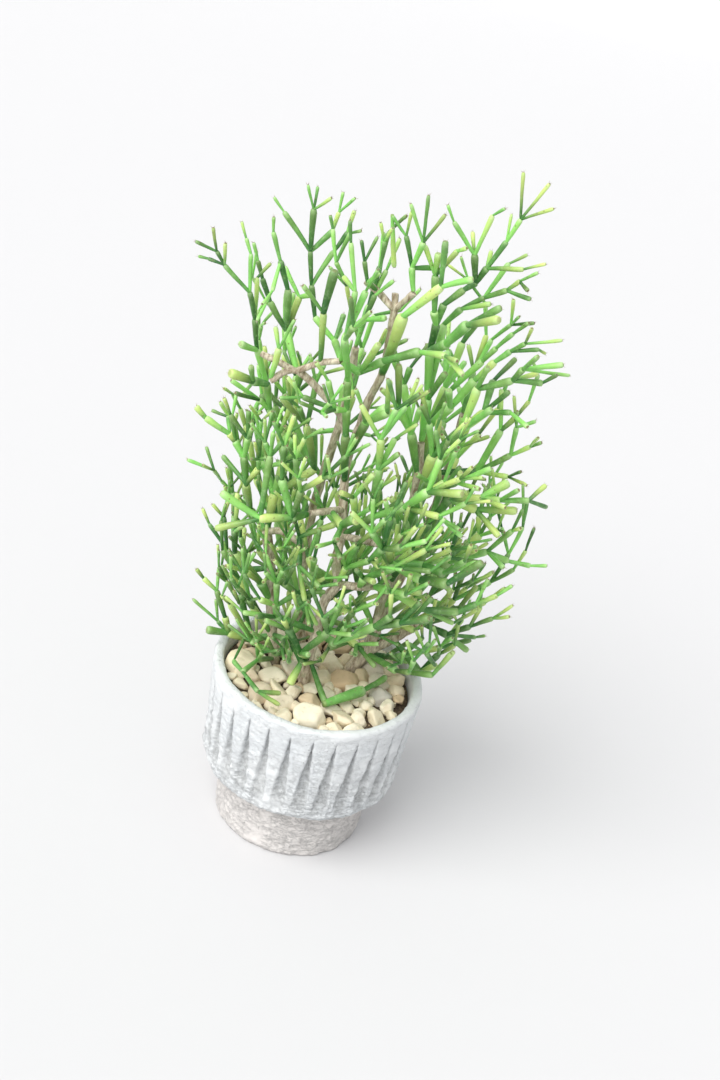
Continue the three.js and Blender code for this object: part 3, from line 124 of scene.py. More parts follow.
# Green sprays: node, the wood limb and joint that carries it, then its limbs: low and high diameter, joints.
# Every limb after the first starts with the joint it grows from.
SPRAYS = [
    ["far_left", "left", 5, [
        [4.4, 2.6, [-37, 170, 10], [-36, 188, 10], [-40, 200, 7], [-46, 210, 4], [-49, 221, 0],
            [-56, 235, -3], [-59, 248, -6]],
        [2.4, 1.5, [-59, 248, -6], [-63, 259, -8], [-75, 268, -9], [-79, 273, -11], [-88, 275, -12]],
        [1.6, 1.4, [-75, 268, -9], [-82, 269, -8], [-86, 269, -6]],
        [1.5, 1.4, [-79, 273, -11], [-82, 282, -16]],
        [1.6, 1.4, [-75, 268, -9], [-76, 277, -15]],
        [1.9, 1.4, [-63, 259, -8], [-65, 275, -4], [-68, 281, -3], [-71, 287, -2]],
        [2.0, 1.6, [-59, 248, -6], [-61, 266, -2], [-57, 273, 2]],
        [3.2, 3.0, [-56, 235, -3], [-63, 236, -12]],
        [4.0, 4.4, [-49, 221, 0], [-55, 221, -4], [-65, 222, -10]],
        [2.6, 2.2, [-46, 210, 4], [-51, 213, 6], [-64, 219, 2]],
        [1.9, 1.7, [-55, 221, -4], [-58, 214, 12]],
        [4.0, 3.6, [-37, 170, 10], [-22, 187, 12], [-26, 205, 6]],
        [3.8, 4.2, [-22, 187, 12], [-29, 206, 2]],
        [3.4, 3.8, [-22, 187, 12], [-37, 210, 18]],
    ]],
    ["left_low_fork", "fork", 3, [
        [3.0, 1.6, [-47, 238, -12], [-43, 252, -16]],
        [2.0, 1.8, [-47, 238, -12], [-50, 247, -8]],
    ]],
    ["left_mid", "fork", 2, [
        [3.4, 1.6, [-45, 246, -2], [-54, 257, -1], [-59, 266, 0], [-62, 273, 1], [-65, 280, 2]],
        [3.2, 1.5, [-45, 246, -2], [-48, 264, -6], [-53, 275, -7], [-58, 286, -7], [-59, 292, -8]],
        [3.0, 2.2, [-45, 246, -2], [-43, 262, 2], [-51, 273, 6]],
        [2.4, 2.6, [-43, 262, 2], [-39, 264, 0]],
        [1.8, 1.4, [-53, 275, -7], [-54, 262, -14], [-58, 248, -18]],
    ]],
    ["left_light", "fork right", 0, [
        [3.0, 3.8, [-32, 258, -16], [-31, 276, -22]],
    ]],
    ["left_crown", "fork right", 1, [
        [3.2, 2.2, [-25, 247, 0], [-35, 255, 2], [-39, 268, 4], [-42, 282, 6]],
        [2.4, 1.3, [-42, 282, 6], [-55, 295, 8], [-60, 300, 10]],
        [2.8, 1.3, [-42, 282, 6], [-44, 299, 4], [-48, 308, 3]],
        [1.5, 1.4, [-44, 299, 4], [-38, 305, 0]],
        [1.4, 1.4, [-44, 299, 4], [-44, 308, 8]],
        [2.6, 1.4, [-42, 282, 6], [-35, 292, 12], [-34, 300, 13], [-34, 308, 14]],
        [1.4, 1.4, [-34, 300, 13], [-29, 307, 10]],
        [2.4, 2.0, [-39, 268, 4], [-33, 284, 14], [-29, 293, 16], [-28, 302, 18]],
    ]],
    ["left_crown2", "fork right", 1, [
        [3.0, 1.6, [-21, 251, -6], [-21, 270, -7], [-27, 289, -7], [-29, 298, -8]],
        [2.2, 1.5, [-21, 270, -7], [-27, 275, -12], [-31, 280, -13], [-35, 293, -13], [-37, 298, -14]],
        [1.8, 1.4, [-31, 280, -13], [-28, 293, -16], [-24, 295, -18]],
        [3.0, 1.6, [-21, 251, -6], [-17, 271, -12], [-14, 281, -16]],
        [3.0, 1.8, [-21, 251, -6], [-15, 259, -2], [-13, 270, 0], [-7, 278, 2]],
        [2.8, 3.0, [-15, 259, -2], [-7, 262, -6]],
    ]],
    ["gold_arm", "fork right", 1, [
        [3.6, 4.2, [-12, 236, -16], [-4, 243, -19], [10, 251, -22]],
        [3.0, 3.6, [-12, 236, -16], [-7, 250, -20]],
    ]],
    ["crown_arm_left", "crown left", 0, [
        [2.6, 1.6, [-17, 275, 2], [-20, 283, 2], [-23, 291, 3]],
        [1.6, 1.4, [-20, 283, 2], [-17, 294, 6]],
        [2.0, 1.4, [-17, 275, 2], [-13, 280, -4], [-14, 293, -5], [-17, 300, -6]],
        [1.4, 1.4, [-14, 293, -5], [-12, 299, -8]],
    ]],
    ["crown_arm_right", "crown right", 0, [
        [2.8, 1.5, [-1, 285, -2], [-6, 297, 0], [-13, 304, 2]],
        [1.5, 1.4, [-6, 297, 0], [-6, 307, -4]],
        [2.6, 1.6, [-1, 285, -2], [1, 296, -6], [-1, 315, -7]],
        [1.6, 1.4, [1, 296, -6], [-7, 310, -10]],
        [1.7, 1.5, [1, 296, -6], [7, 309, -8]],
        [2.4, 2.0, [-1, 285, -2], [7, 287, 2], [11, 295, 4]],
        [2.2, 2.0, [-13, 304, 2], [-8, 284, 4]],
    ]],
    ["thick_front", "centre", 12, [
        [5.2, 5.0, [0, 264, -12]],
    ]],
    ["right_spire", "right", 10, [
        [4.2, 3.0, [18, 231, 10], [14, 253, 8], [14, 264, 5], [12, 269, 2], [9, 284, -1], [8, 293, -4]],
        [3.4, 3.0, [14, 264, 5], [15, 273, 0], [21, 281, 1], [25, 285, 2]],
        [3.0, 2.2, [25, 285, 2], [28, 292, 3], [33, 304, 4], [36, 314, 4]],
        [1.6, 1.4, [36, 314, 4], [32, 332, 6]],
        [1.6, 1.4, [36, 314, 4], [43, 330, 2]],
        [1.5, 1.4, [36, 314, 4], [47, 321, -2]],
        [1.4, 1.4, [33, 304, 4], [32, 315, 8]],
        [3.0, 1.4, [25, 285, 2], [22, 296, 0], [11, 307, -1], [7, 313, -2]],
        [2.2, 1.4, [22, 296, 0], [25, 313, -2], [29, 317, -4]],
        [1.8, 1.7, [22, 296, 0], [19, 305, 5]],
        [2.2, 1.4, [28, 292, 3], [42, 295, -4], [50, 299, -6]],
        [2.0, 1.4, [28, 292, 3], [28, 299, 8]],
        [2.4, 2.0, [9, 284, -1], [15, 296, -8], [18, 298, -10]],
        [2.2, 2.0, [9, 284, -1], [2, 295, -2]],
        [4.6, 4.8, [14, 253, 8], [20, 257, -2], [26, 267, -8]],
        [3.6, 2.4, [18, 231, 10], [17, 265, 12], [22, 273, 11], [30, 280, 10]],
        [2.4, 1.5, [30, 280, 10], [36, 296, 14], [42, 301, 16]],
        [2.6, 1.5, [30, 280, 10], [38, 285, 6], [42, 290, 5], [48, 295, 4]],
        [2.0, 1.8, [38, 285, 6], [48, 284, 2]],
        [1.8, 1.6, [42, 290, 5], [46, 287, 0]],
        [2.4, 2.2, [22, 273, 11], [33, 278, 6]],
    ]],
    ["right_shoulder", "right", 8, [
        [4.4, 1.8, [23, 201, 12], [21, 219, 8], [26, 237, 5], [36, 253, 2], [40, 260, 0], [45, 268, -3],
            [50, 274, -6]],
        [4.6, 1.6, [21, 219, 8], [28, 230, 2], [35, 244, 2], [41, 254, 1], [46, 260, 1], [51, 265, 0],
            [65, 270, 0]],
        [2.0, 1.4, [46, 260, 1], [57, 264, 4], [60, 263, 6]],
        [1.6, 1.3, [51, 265, 0], [52, 272, -4]],
        [4.2, 3.0, [21, 219, 8], [24, 238, 16], [26, 259, 17], [30, 270, 18]],
    ]],
    ["right_bough", "right", 7, [
        [5.0, 2.6, [25, 187, 12], [26, 206, 8], [35, 221, 5], [37, 241, 2], [50, 248, -2], [53, 254, -5],
            [68, 260, -8]],
        [2.8, 1.8, [50, 248, -2], [62, 250, -14], [67, 255, -14]],
        [2.4, 1.8, [50, 248, -2], [59, 254, -2]],
        [1.6, 1.4, [53, 254, -5], [72, 256, -12]],
        [4.4, 2.6, [35, 221, 5], [42, 231, 2], [50, 243, 0]],
        [2.6, 2.0, [42, 231, 2], [53, 234, -6]],
    ]],
    ["right_wing", "right", 6, [
        [4.6, 1.8, [25, 176, 16], [29, 199, 14], [46, 204, 12], [58, 215, 11], [65, 221, 10], [69, 224, 8]],
        [3.6, 2.0, [46, 204, 12], [51, 225, 18], [56, 233, 20], [59, 241, 22]],
        [2.4, 1.8, [58, 215, 11], [57, 228, 14], [64, 233, 16]],
        [1.6, 1.5, [65, 221, 10], [67, 226, 4]],
    ]],
    ["right_fan", "right", 5, [
        [4.6, 2.8, [26, 158, 12], [32, 174, 8], [38, 188, 4], [51, 192, 1], [59, 193, -1], [71, 196, -4]],
        [2.4, 2.0, [71, 196, -4], [76, 205, -6]],
        [2.2, 1.8, [71, 196, -4], [79, 195, -2]],
        [4.4, 4.6, [51, 192, 1], [60, 202, 0]],
        [4.2, 4.6, [38, 188, 4], [50, 186, -4]],
        [3.6, 3.2, [50, 186, -4], [67, 190, -8]],
    ]],
    ["right_arm", "right", 4, [
        [4.8, 2.0, [33, 142, 10], [45, 157, 6], [60, 167, 2], [68, 180, -2], [71, 182, -6]],
        [2.4, 2.0, [60, 167, 2], [69, 161, -8]],
        [3.0, 1.6, [60, 167, 2], [70, 165, 6], [80, 165, 5], [87, 167, 4]],
        [4.0, 2.2, [45, 157, 6], [55, 174, 8], [57, 184, 8]],
        [2.6, 2.0, [55, 174, 8], [52, 183, 12]],
        [2.2, 1.8, [55, 174, 8], [62, 179, 2]],
    ]],
    ["right_low_arm", "low right arm", 1, [
        [4.2, 3.6, [22, 136, -22], [39, 130, -24]],
        [3.6, 1.9, [39, 130, -24], [55, 133, -24], [62, 139, -23], [70, 146, -23], [75, 153, -22]],
    ]],
    ["right_low_spray", "right low", 1, [
        [3.8, 1.6, [53, 120, 2], [62, 127, 0], [71, 134, -2], [78, 143, -4]],
        [1.8, 1.6, [71, 134, -2], [78, 137, -8]],
        [3.0, 3.6, [53, 120, 2], [64, 114, 6]],
        [2.2, 1.6, [53, 120, 2], [66, 122, 12], [70, 124, 14]],
    ]],
    ["front_right_low", "centre", 2, [
        [4.0, 3.6, [4, 101, -28], [20, 115, -33], [31, 120, -39], [43, 126, -44]],
        [3.4, 3.8, [20, 115, -33], [26, 122, -40]],
        [3.0, 2.0, [4, 101, -28], [17, 110, -30]],
    ]],
    ["right_floor", "right low", 0, [
        [4.0, 2.4, [46, 96, 4], [52, 108, 0], [58, 115, -4]],
        [3.2, 3.0, [46, 96, 4], [52, 102, -8]],
    ]],
    ["front_middle", "middle arm", 1, [
        [3.8, 5.0, [20, 150, -20], [35, 145, -29], [47, 146, -38]],
        [3.6, 4.2, [20, 150, -20], [34, 153, -22], [44, 151, -30]],
        [3.4, 4.2, [20, 150, -20], [18, 156, -26]],
    ]],
    ["front_long", "centre", 6, [
        [3.6, 4.2, [8, 171, -14], [20, 179, -22], [28, 189, -30]],
    ]],
    ["front_uplift", "low left arm", 0, [
        [3.8, 2.0, [-5, 163, -18], [6, 175, -26]],
        [3.6, 3.4, [6, 175, -26], [5, 194, -28], [3, 208, -30]],
        [4.6, 4.8, [-5, 163, -18], [0, 168, -26]],
    ]],
    ["front_left_up", "low left arm", 1, [
        [4.0, 3.2, [-27, 161, -20], [-26, 175, -26]],
        [3.8, 2.4, [-27, 161, -20], [-35, 178, -18]],
        [4.2, 4.6, [-27, 161, -20], [-41, 157, -24]],
        [3.2, 2.4, [-41, 157, -24], [-42, 188, -16], [-45, 194, -16]],
    ]],
    ["front_left_down", "left twig", 1, [
        [3.6, 3.4, [-22, 152, -8], [-20, 138, -16]],
        [3.0, 2.4, [-22, 152, -8], [-8, 163, -16]],
    ]],
    ["centre_right", "low right arm", 0, [
        [4.0, 3.8, [10, 139, -22], [22, 148, -32]],
    ]],
    ["centre_up", "centre", 4, [
        [3.2, 3.6, [1, 142, -12], [3, 155, -16]],
        [3.0, 4.0, [1, 142, -12], [11, 149, -18], [15, 156, -26]],
    ]],
    ["centre_left", "centre", 4, [
        [4.2, 4.8, [-3, 134, -16], [-13, 137, -24]],
    ]],
    ["front_stem", "centre", 2, [
        [3.6, 3.0, [-25, 108, -18], [-26, 114, -22], [-28, 126, -26]],
        [3.0, 2.8, [-26, 114, -22], [-34, 115, -30]],
        [2.8, 3.2, [-26, 114, -22], [-18, 123, -20], [-24, 126, -26]],
    ]],
    ["front_floor", "centre", 1, [
        [3.4, 3.8, [-10, 91, -22], [0, 106, -32]],
        [3.6, 5.0, [-10, 91, -22], [-18, 103, -28]],
    ]],
    ["left_bend", "left", 5, [
        [3.8, 1.8, [-46, 160, 4], [-55, 166, 2], [-61, 171, 0]],
        [1.8, 1.7, [-61, 171, 0], [-65, 175, 0], [-77, 177, -2]],
        [1.6, 1.5, [-65, 175, 0], [-70, 185, 4]],
        [4.0, 3.0, [-46, 160, 4], [-50, 172, 8], [-53, 185, 9], [-58, 191, 10], [-61, 194, 10],
            [-72, 199, 11], [-77, 203, 12]],
        [3.0, 1.9, [-53, 185, 9], [-53, 194, 2], [-62, 203, 1], [-66, 210, 0]],
        [2.6, 2.4, [-50, 172, 8], [-62, 183, 16]],
        [2.0, 1.6, [-61, 194, 10], [-63, 202, 18], [-70, 203, 20]],
        [3.0, 2.8, [-50, 172, 8], [-46, 181, 4], [-48, 195, 6]],
    ]],
    ["left_side", "left", 4, [
        [3.6, 1.8, [-45, 128, 12], [-53, 137, 11], [-57, 153, 9], [-63, 158, 8]],
        [2.0, 1.7, [-53, 137, 11], [-63, 148, 14], [-67, 155, 16]],
        [1.7, 1.5, [-57, 153, 9], [-56, 162, 4]],
        [3.2, 2.0, [-45, 128, 12], [-44, 137, 18], [-48, 145, 19], [-53, 155, 19], [-54, 161, 20]],
        [2.4, 2.2, [-45, 128, 12], [-47, 150, 24]],
    ]],
    ["left_stub", "left", 3, [
        [4.8, 5.0, [-35, 124, 2], [-49, 136, -4]],
        [3.0, 2.2, [-35, 124, 2], [-42, 128, -8]],
    ]],
    ["left_low", "left", 2, [
        [4.6, 3.6, [-40, 115, 4], [-49, 126, 2]],
        [2.4, 2.0, [-40, 115, 4], [-43, 111, -4], [-50, 120, -5], [-55, 127, -6]],
    ]],
    ["left_floor", "left", 2, [
        [4.4, 4.0, [-34, 92, 2], [-45, 93, -2], [-55, 92, -6]],
        [3.4, 1.9, [-45, 93, -2], [-48, 101, 0], [-54, 114, -1], [-61, 119, -1], [-65, 123, -2]],
        [2.2, 1.7, [-45, 93, -2], [-51, 98, 4], [-64, 107, 6]],
        [3.4, 2.6, [-34, 92, 2], [-43, 115, 8]],
        [3.0, 3.4, [-34, 92, 2], [-47, 109, -8]],
    ]],
    ["pale_stem", "centre", 8, [
        [4.2, 3.4, [-12, 206, -4], [-14, 218, -6], [-16, 231, -8]],
        [3.2, 3.8, [-16, 231, -8], [-21, 249, -10]],
        [2.8, 3.4, [-14, 218, -6], [-13, 227, -2]],
        [3.0, 2.6, [-14, 218, -6], [-19, 217, -16], [-24, 229, -18]],
        [2.6, 3.4, [-19, 217, -16], [-33, 219, -18]],
    ]],
    ["centre_bush", "centre", 9, [
        [4.0, 4.4, [-5, 214, -8], [2, 223, -16]],
        [3.6, 4.6, [-5, 214, -8], [3, 221, -20]],
    ]],
    ["centre_dark", "right", 9, [
        [4.2, 3.2, [15, 214, 6], [7, 225, 2], [3, 243, -2]],
        [3.6, 3.0, [15, 214, 6], [7, 235, 12], [8, 243, 14]],
    ]],
]

# Limbs on the sides that face away: node, wood limb and joint, heading and rise in degrees, number of
# segments, diameter.
REACHES = [
    ["back_low_left", "back", 2, 150, 32, 4, 4.0],
    ["back_low", "back", 2, 95, 36, 4, 4.0],
    ["back_left", "back", 3, 165, 42, 5, 4.2],
    ["back_mid", "back", 4, 115, 44, 5, 4.0],
    ["back_high_left", "back", 5, 160, 46, 5, 3.8],
    ["back_high", "back", 6, 90, 52, 4, 3.6],
    ["back_top", "back", 8, 75, 68, 4, 3.0],
    ["back_right_low", "back right", 2, 60, 32, 4, 4.0],
    ["back_right_side", "back right", 2, 15, 40, 5, 4.2],
    ["back_right_mid", "back right", 3, 70, 44, 5, 4.0],
    ["back_right_high", "back right", 5, 55, 52, 5, 3.6],
    ["back_right_top", "back right", 7, 80, 66, 4, 3.0],
    ["low_bush_left", "centre", 2, 215, 38, 3, 3.8],
    ["low_bush_right", "right", 2, 330, 30, 3, 3.8],
]

# The crown's outline as it is seen: height, left, right, and half its depth.
CROWN = [
    [84, -44, 44, 40], [100, -60, 54, 46], [120, -63, 66, 52], [150, -64, 75, 58], [200, -73, 76, 62],
    [225, -66, 64, 60], [245, -62, 63, 56], [262, -82, 66, 52], [285, -78, 50, 44], [300, -60, 46, 34],
    [311, -44, 44, 24], [315, 22, 46, 14], [334, 28, 46, 8],
]

# A tip may lie this far out, as a share of the crown's half axes squared, and must lie above these heights.
CROWN_SHARE = 1.1
OVER_POT = 60
TIP_OVER_POT = 88
TIP_BESIDE_POT = 82

# Reaches: tries for each segment, stray of turn and rise, steepest rise, bend upwards, taper.
REACH_TRIES = 14
REACH_STRAY = (0.35, 0.25)
REACH_STEEPEST = 1.45
REACH_BEND = 0.12
REACH_BENT = 1.4
REACH_TAPER = 0.84

# Side limbs of the reaches: turn and rise from the limb's own in degrees, taper, segments.
SIDE_TURN = 50
SIDE_RISE = 8
SIDE_TAPER = 0.8
SIDE_LINKS = 3

# Limbs that the solids leave out, low among the stems, in the form of the reaches above.
FINE_REACHES = [
    ("centre_dark", "centre", 1, 200, 48, 3, 3.4),
    ("centre_dark", "centre", 3, 130, 50, 3, 3.4),
    ("centre_dark", "centre", 3, 20, 46, 3, 3.4),
    ("centre_bush", "centre", 2, 300, 52, 3, 3.6),
    ("centre_bush", "centre", 4, 240, 50, 3, 3.6),
    ("left_low", "left", 2, 120, 48, 3, 3.4),
    ("left_low", "left", 2, 200, 40, 3, 3.4),
    ("left_low", "left", 3, 270, 50, 3, 3.4),
    ("right_floor", "right", 2, 20, 40, 3, 3.6),
    ("right_floor", "right", 1, 280, 36, 3, 3.4),
    ("right_floor", "right", 3, 200, 50, 3, 3.6),
    ("right_floor", "right", 3, 90, 46, 3, 3.4),
    ("back_low", "back", 1, 40, 50, 3, 3.6),
    ("back_low", "back", 1, 120, 36, 3, 3.6),
    ("back_low_left", "back", 1, 190, 40, 3, 3.6),
    ("back_right_low", "back right", 1, 350, 40, 3, 3.6),
    ("back_right_low", "back right", 1, 90, 40, 3, 3.4),
]

# Small sprigs low in front, which the solids leave out too, in the form of the sprays above.
FINE_SPRAYS = [
    ("front_floor", "centre", 1, [
        [3.2, 5.4, [6.6, 66.4, -27], [22.3, 78.5, -13]],
    ]),
    ("front_floor", "centre", 1, [
        [3.6, 4.0, [-9, 86, -15], [-12, 73, -22]],
        [4.0, 5.0, [-9, 86, -15], [-18, 102, -17]],
    ]),
    ("left_floor", "left", 1, [
        [3.0, 2.4, [-29, 82, -6], [-35, 73, -21], [-26, 64, -32]],
        [2.4, 2.2, [-35, 73, -21], [-40, 78, -17]],
        [2.4, 2.2, [-26, 64, -32], [-16, 66, -33]],
        [2.2, 2.2, [-26, 64, -32], [-15, 59, -36]],
    ]),
    ("right_floor", "right", 1, [
        [3.6, 4.6, [20, 84, -6], [19, 77, -17], [9, 69, -26]],
        [3.4, 3.4, [20, 84, -6], [33, 86, -9]],
        [3.4, 3.8, [20, 84, -6], [36, 91, -2], [48, 94, 4]],
    ]),
    ("front_stem", "centre", 1, [
        [3.4, 3.6, [-13, 93, -15], [-22, 88, -25]],
        [3.2, 3.4, [-13, 93, -15], [-15, 106, -23]],
    ]),
    ("centre_dark", "centre", 2, [
        [3.4, 3.2, [4, 108, -16], [14, 103, -26]],
        [3.2, 3.2, [4, 108, -16], [9, 120, -23]],
    ]),
    ("centre_dark", "centre", 2, [
        [3.2, 3.0, [-1, 113, 2], [7, 123, 7]],
        [3.0, 3.0, [-1, 113, 2], [8, 112, 4]],
    ]),
    ("right_floor", "right", 2, [
        [3.6, 3.4, [11, 104, 4], [2, 98, -4]],
        [3.4, 3.4, [11, 104, 4], [7, 116, -2]],
    ]),
    ("right_floor", "right", 3, [
        [3.4, 3.2, [28, 120, 4], [36, 130, -4]],
        [3.2, 3.2, [28, 120, 4], [38, 118, -2]],
    ]),
    ("left_low", "left", 2, [
        [3.2, 3.0, [-19, 97, -3], [-15, 89, -12]],
        [3.0, 3.0, [-19, 97, -3], [-13, 106, -9]],
    ]),
    ("back_low", "back", 1, [
        [3.4, 3.2, [-2, 101, 20], [5, 110, 17]],
        [3.2, 3.0, [-2, 101, 20], [7, 101, 20]],
    ]),
    ("right_low_arm", "right", 2, [
        [3.6, 3.0, [28, 100, 2], [39, 100, 3], [55, 110, 18]],
        [3.4, 2.8, [28, 100, 2], [36, 103, -4], [52, 112, 6], [64, 120, 14]],
        [3.2, 3.0, [39, 100, 3], [50, 99, 2]],
    ]),
]

# Side shoots: by round, how likely each is and the room that its tip keeps. The solids have the first
# round, and the fine rounds fill the crown, more so in its low parts: height, share of the room.
SHOOT_ROUNDS = ((0.8, 13),)
FINE_ROUNDS = ((0.9, 6.0), (0.9, 4.6))
FINE_ROOM = ((84, 0.36), (150, 0.42), (200, 0.52), (225, 0.9), (255, 2.6))
FINE_MARGIN = 9
FINE_TAPER = 0.85
SHOOT_SEED = 2025
WHORL = 3
FINE_DIAMETER = 1.7
STOUT_DIAMETER = 2.4
SHOOT_TILT = (22, 42)
SHOOT_LIFT = 0.2
SHOOT_TAPER = (0.72, 0.92)
SHOOT_THINNEST = 0.7
SHOOT_THICKEST = 1.9
SHOOT_LENGTH = (0.75, 1.1)
SHOOT_TRIES = 6
SHOOT_UPPER = 0.6
TOO_ALIKE = 0.88

# A direction that no segment has, to find what is square to one.
ASIDE = np.array([0.31, 0.27, 0.91])


def segment_length(diameter):
    """How long a segment of this diameter grows."""
    return 5.5 + 4.6 * diameter


class Draw:
    """A seeded run of numbers from 0 to 1, the same on every machine."""

    def __init__(self, seed):
        self.state = seed

    def next(self):
        """The next number."""
        self.state = self.state * 16807 % 2147483647
        return self.state / 2147483647

    def within(self, low, high):
        """The next number, between low and high."""
        return low + (high - low) * self.next()


def place(seen, slide=0.0):
    """The point that the eye sees at (across, up) when it lies that far behind the pot's axis."""
    across, up, behind = seen
    depth = behind + slide
    scale = 1 + depth / EYE_BACK
    return np.array([across * scale, depth, EYE_UP + (up - EYE_UP) * scale])


def unit(vector):
    """The vector at length 1."""
    return vector / math.sqrt(float(vector @ vector))


def crown_at(height):
    """The crown's left, right and half depth at this seen height, or None above and below it."""
    for low, high in zip(CROWN, CROWN[1:]):
        if low[0] <= height <= high[0]:
            part = (height - low[0]) / (high[0] - low[0])
            return [a + (b - a) * part for a, b in zip(low[1:], high[1:])]
    return None


def inside_crown(tip, radius, margin=0):
    """Whether a tip lies this far inside the crown and above the gravel and the rim."""
    scale = EYE_BACK / (EYE_BACK + tip[1])
    bounds = crown_at(EYE_UP + (tip[2] - EYE_UP) * scale)
    if bounds is None:
        return False
    left, right, deep = bounds
    across = (tip[0] * scale - (left + right) / 2) / ((right - left) / 2 - margin)
    if across**2 + (tip[1] / (deep - 0.5 * margin)) ** 2 > CROWN_SHARE:
        return False
    if margin and tip[1] - radius < -RIM_RADIUS - 0.2 * margin:
        return False
    floor = TIP_OVER_POT if math.hypot(tip[0], tip[1]) < OVER_POT else TIP_BESIDE_POT
    return tip[2] - radius > floor - 0.5 * margin


def pot_wall(height):
    """The cup's outer radius at this height."""
    widening = RIM_RADIUS - CUP_BOTTOM_RADIUS
    return CUP_BOTTOM_RADIUS + widening * (height - CUP_BOTTOM) / (POT_HEIGHT - CUP_BOTTOM)


def clear_of_pot(start, end, radius):
    """Whether a segment stays clear of the gravel bed, the lip and the pot's wall."""
    thick = radius * SIDE_FACTOR + SEAT_GAP
    for part in (0, 0.25, 0.5, 0.75, 1):
        spot = start + (end - start) * part
        out = math.hypot(spot[0], spot[1])
        if out > pot_wall(spot[2]) + thick:
            continue
        floor = POT_HEIGHT if out > RIM_RADIUS - LIP_WIDTH - thick else GRAVEL_TOP
        if spot[2] - thick <= floor:
            return False
    return True


class Plant:
    """The woody stems, the green sprays on them and their side shoots, as a list of segments."""

    ROOM = 4000
    FAR = 99.0

    def __init__(self, seed):
        self.draw = Draw(seed)
        self.segments = []
        self.fine = False
        self.joint_count = 0
        self.limb_count = 0
        self.wood_joints = {}
        self.seats = np.zeros((self.ROOM, 3))
        self.ends = np.zeros((self.ROOM, 3))
        self.radii = np.zeros(self.ROOM)
        self.first = np.zeros(self.ROOM, int)
        self.last = np.zeros(self.ROOM, int)
        self.wooden = np.zeros(self.ROOM, bool)
        self.owner = np.zeros(self.ROOM, int)
        self.owners = {}

    def next_limb(self):
        """A number for a new limb."""
        self.limb_count += 1
        return self.limb_count

    def gap(self, start, end, radius, joint, node):
        """The least gap between a new segment and the others, but for those that share its first joint."""
        count = len(self.segments)
        if count == 0:
            return self.FAR
        mine = end - start
        theirs = self.ends[:count] - self.seats[:count]
        apart = start - self.seats[:count]
        mine2 = mine @ mine
        theirs2 = (theirs * theirs).sum(1)
        apart_theirs = (theirs * apart).sum(1)
        apart_mine = apart @ mine
        both = theirs @ mine
        spread = np.maximum(mine2 * theirs2 - both * both, 1e-9)
        here = np.clip((both * apart_theirs - apart_mine * theirs2) / spread, 0, 1)
        there = np.clip((both * here + apart_theirs) / theirs2, 0, 1)
        here = np.clip((both * there - apart_mine) / mine2, 0, 1)
        between = apart + here[:, None] * mine - there[:, None] * theirs
        distance = np.sqrt((between**2).sum(1))
        my_radius = radius * (NECK + (1 - NECK) * np.minimum(1, here / FULL_WIDTH))
        their_radius = self.radii[:count] * (NECK + (1 - NECK) * np.minimum(1, there / FULL_WIDTH))
        their_radius = np.where(self.wooden[:count], self.radii[:count], their_radius)
        same = self.owner[:count] == self.owners.get(node, -1)
        meets = (self.first[:count] == joint) | (self.last[:count] == joint)
        gap = distance - SIDE_FACTOR * (my_radius + their_radius) + np.where(same, SAME_NODE_EASE, 0)
        return float(np.where(meets & (same | self.wooden[:count]), self.FAR, gap).min())

    def add(self, start, end, radius, joint, node, limb, lift=0.0, wooden=False):
        """A new segment, which ends in a joint of its own."""
        row = len(self.segments)
        owner = self.owners.setdefault(node, len(self.owners))
        segment = {"start": start, "end": end, "radius": radius, "first": joint, "last": self.joint_count,
                   "node": node, "limb": limb, "lift": lift, "wooden": wooden, "fine": self.fine}
        self.joint_count += 1
        self.segments.append(segment)
        self.seats[row] = start + unit(end - start) * lift
        self.ends[row] = end
        self.radii[row] = radius
        self.first[row] = joint
        self.last[row] = segment["last"]
        self.wooden[row] = wooden
        self.owner[row] = owner
        return segment

    def grow_wood(self):
        """The woody stems and their arms."""
        for node, limb, root, low, high, seen in WOOD:
            if root:
                joint, point = self.wood_joints[root[0]][root[1]]
                joints = []
            else:
                joint, point = self.joint_count, place(seen[0])
                self.joint_count += 1
                joints = [(joint, point)]
                seen = seen[1:]
            for index, spot in enumerate(seen):
                radius = 0.5 * (low + (high - low) * (index + 0.5) / len(seen))
                segment = self.add(point, place(spot), radius, joint, node, limb, wooden=True)
                joint, point = segment["last"], segment["end"]
                joints.append((joint, point))
            self.wood_joints[limb] = joints

    def wood_seat(self, limb, index):
        """The joint where a spray sits on wood, and how far out the spray starts."""
        joint, point = self.wood_joints[limb][index]
        meeting = [s["radius"] for s in self.segments if s["wooden"] and joint in (s["first"], s["last"])]
        return joint, point, max(meeting) + SEAT_GAP

    def grow_limb(self, node, base, low, high, seen):
        """A limb slides along the line of sight until it is clear, which leaves it where the eye sees it."""
        joint, point, lift = base
        best = []
        for slide in SLIDES:
            links = []
            at = point
            for index, spot in enumerate(seen):
                radius = 0.5 * (low + (high - low) * index / max(1, len(seen) - 1))
                end = place(spot, slide)
                start = at + unit(end - at) * (lift if index == 0 else 0)
                if self.gap(start, end, radius, joint if index == 0 else -1, node) < CLEARANCE:
                    break
                if not clear_of_pot(start, end, radius):
                    break
                links.append((radius, end, tuple(spot)))
                at = end
            if len(links) > len(best):
                best = links
            if len(links) == len(seen):
                break
        grown = {}
        limb = self.next_limb()
        for index, (radius, end, key) in enumerate(best):
            segment = self.add(point, end, radius, joint, node, limb, lift if index == 0 else 0)
            joint, point = segment["last"], end
            grown[key] = (joint, point, 0)
        return grown

    def grow_sprays(self, rows):
        """The sprays of a table that are given limb by limb."""
        for node, limb, index, limbs in rows:
            known = {}
            for order, (low, high, *seen) in enumerate(limbs):
                base = self.wood_seat(limb, index) if order == 0 else known.get(tuple(seen[0]))
                if base:
                    known.update(self.grow_limb(node, base, low, high, seen if order == 0 else seen[1:]))

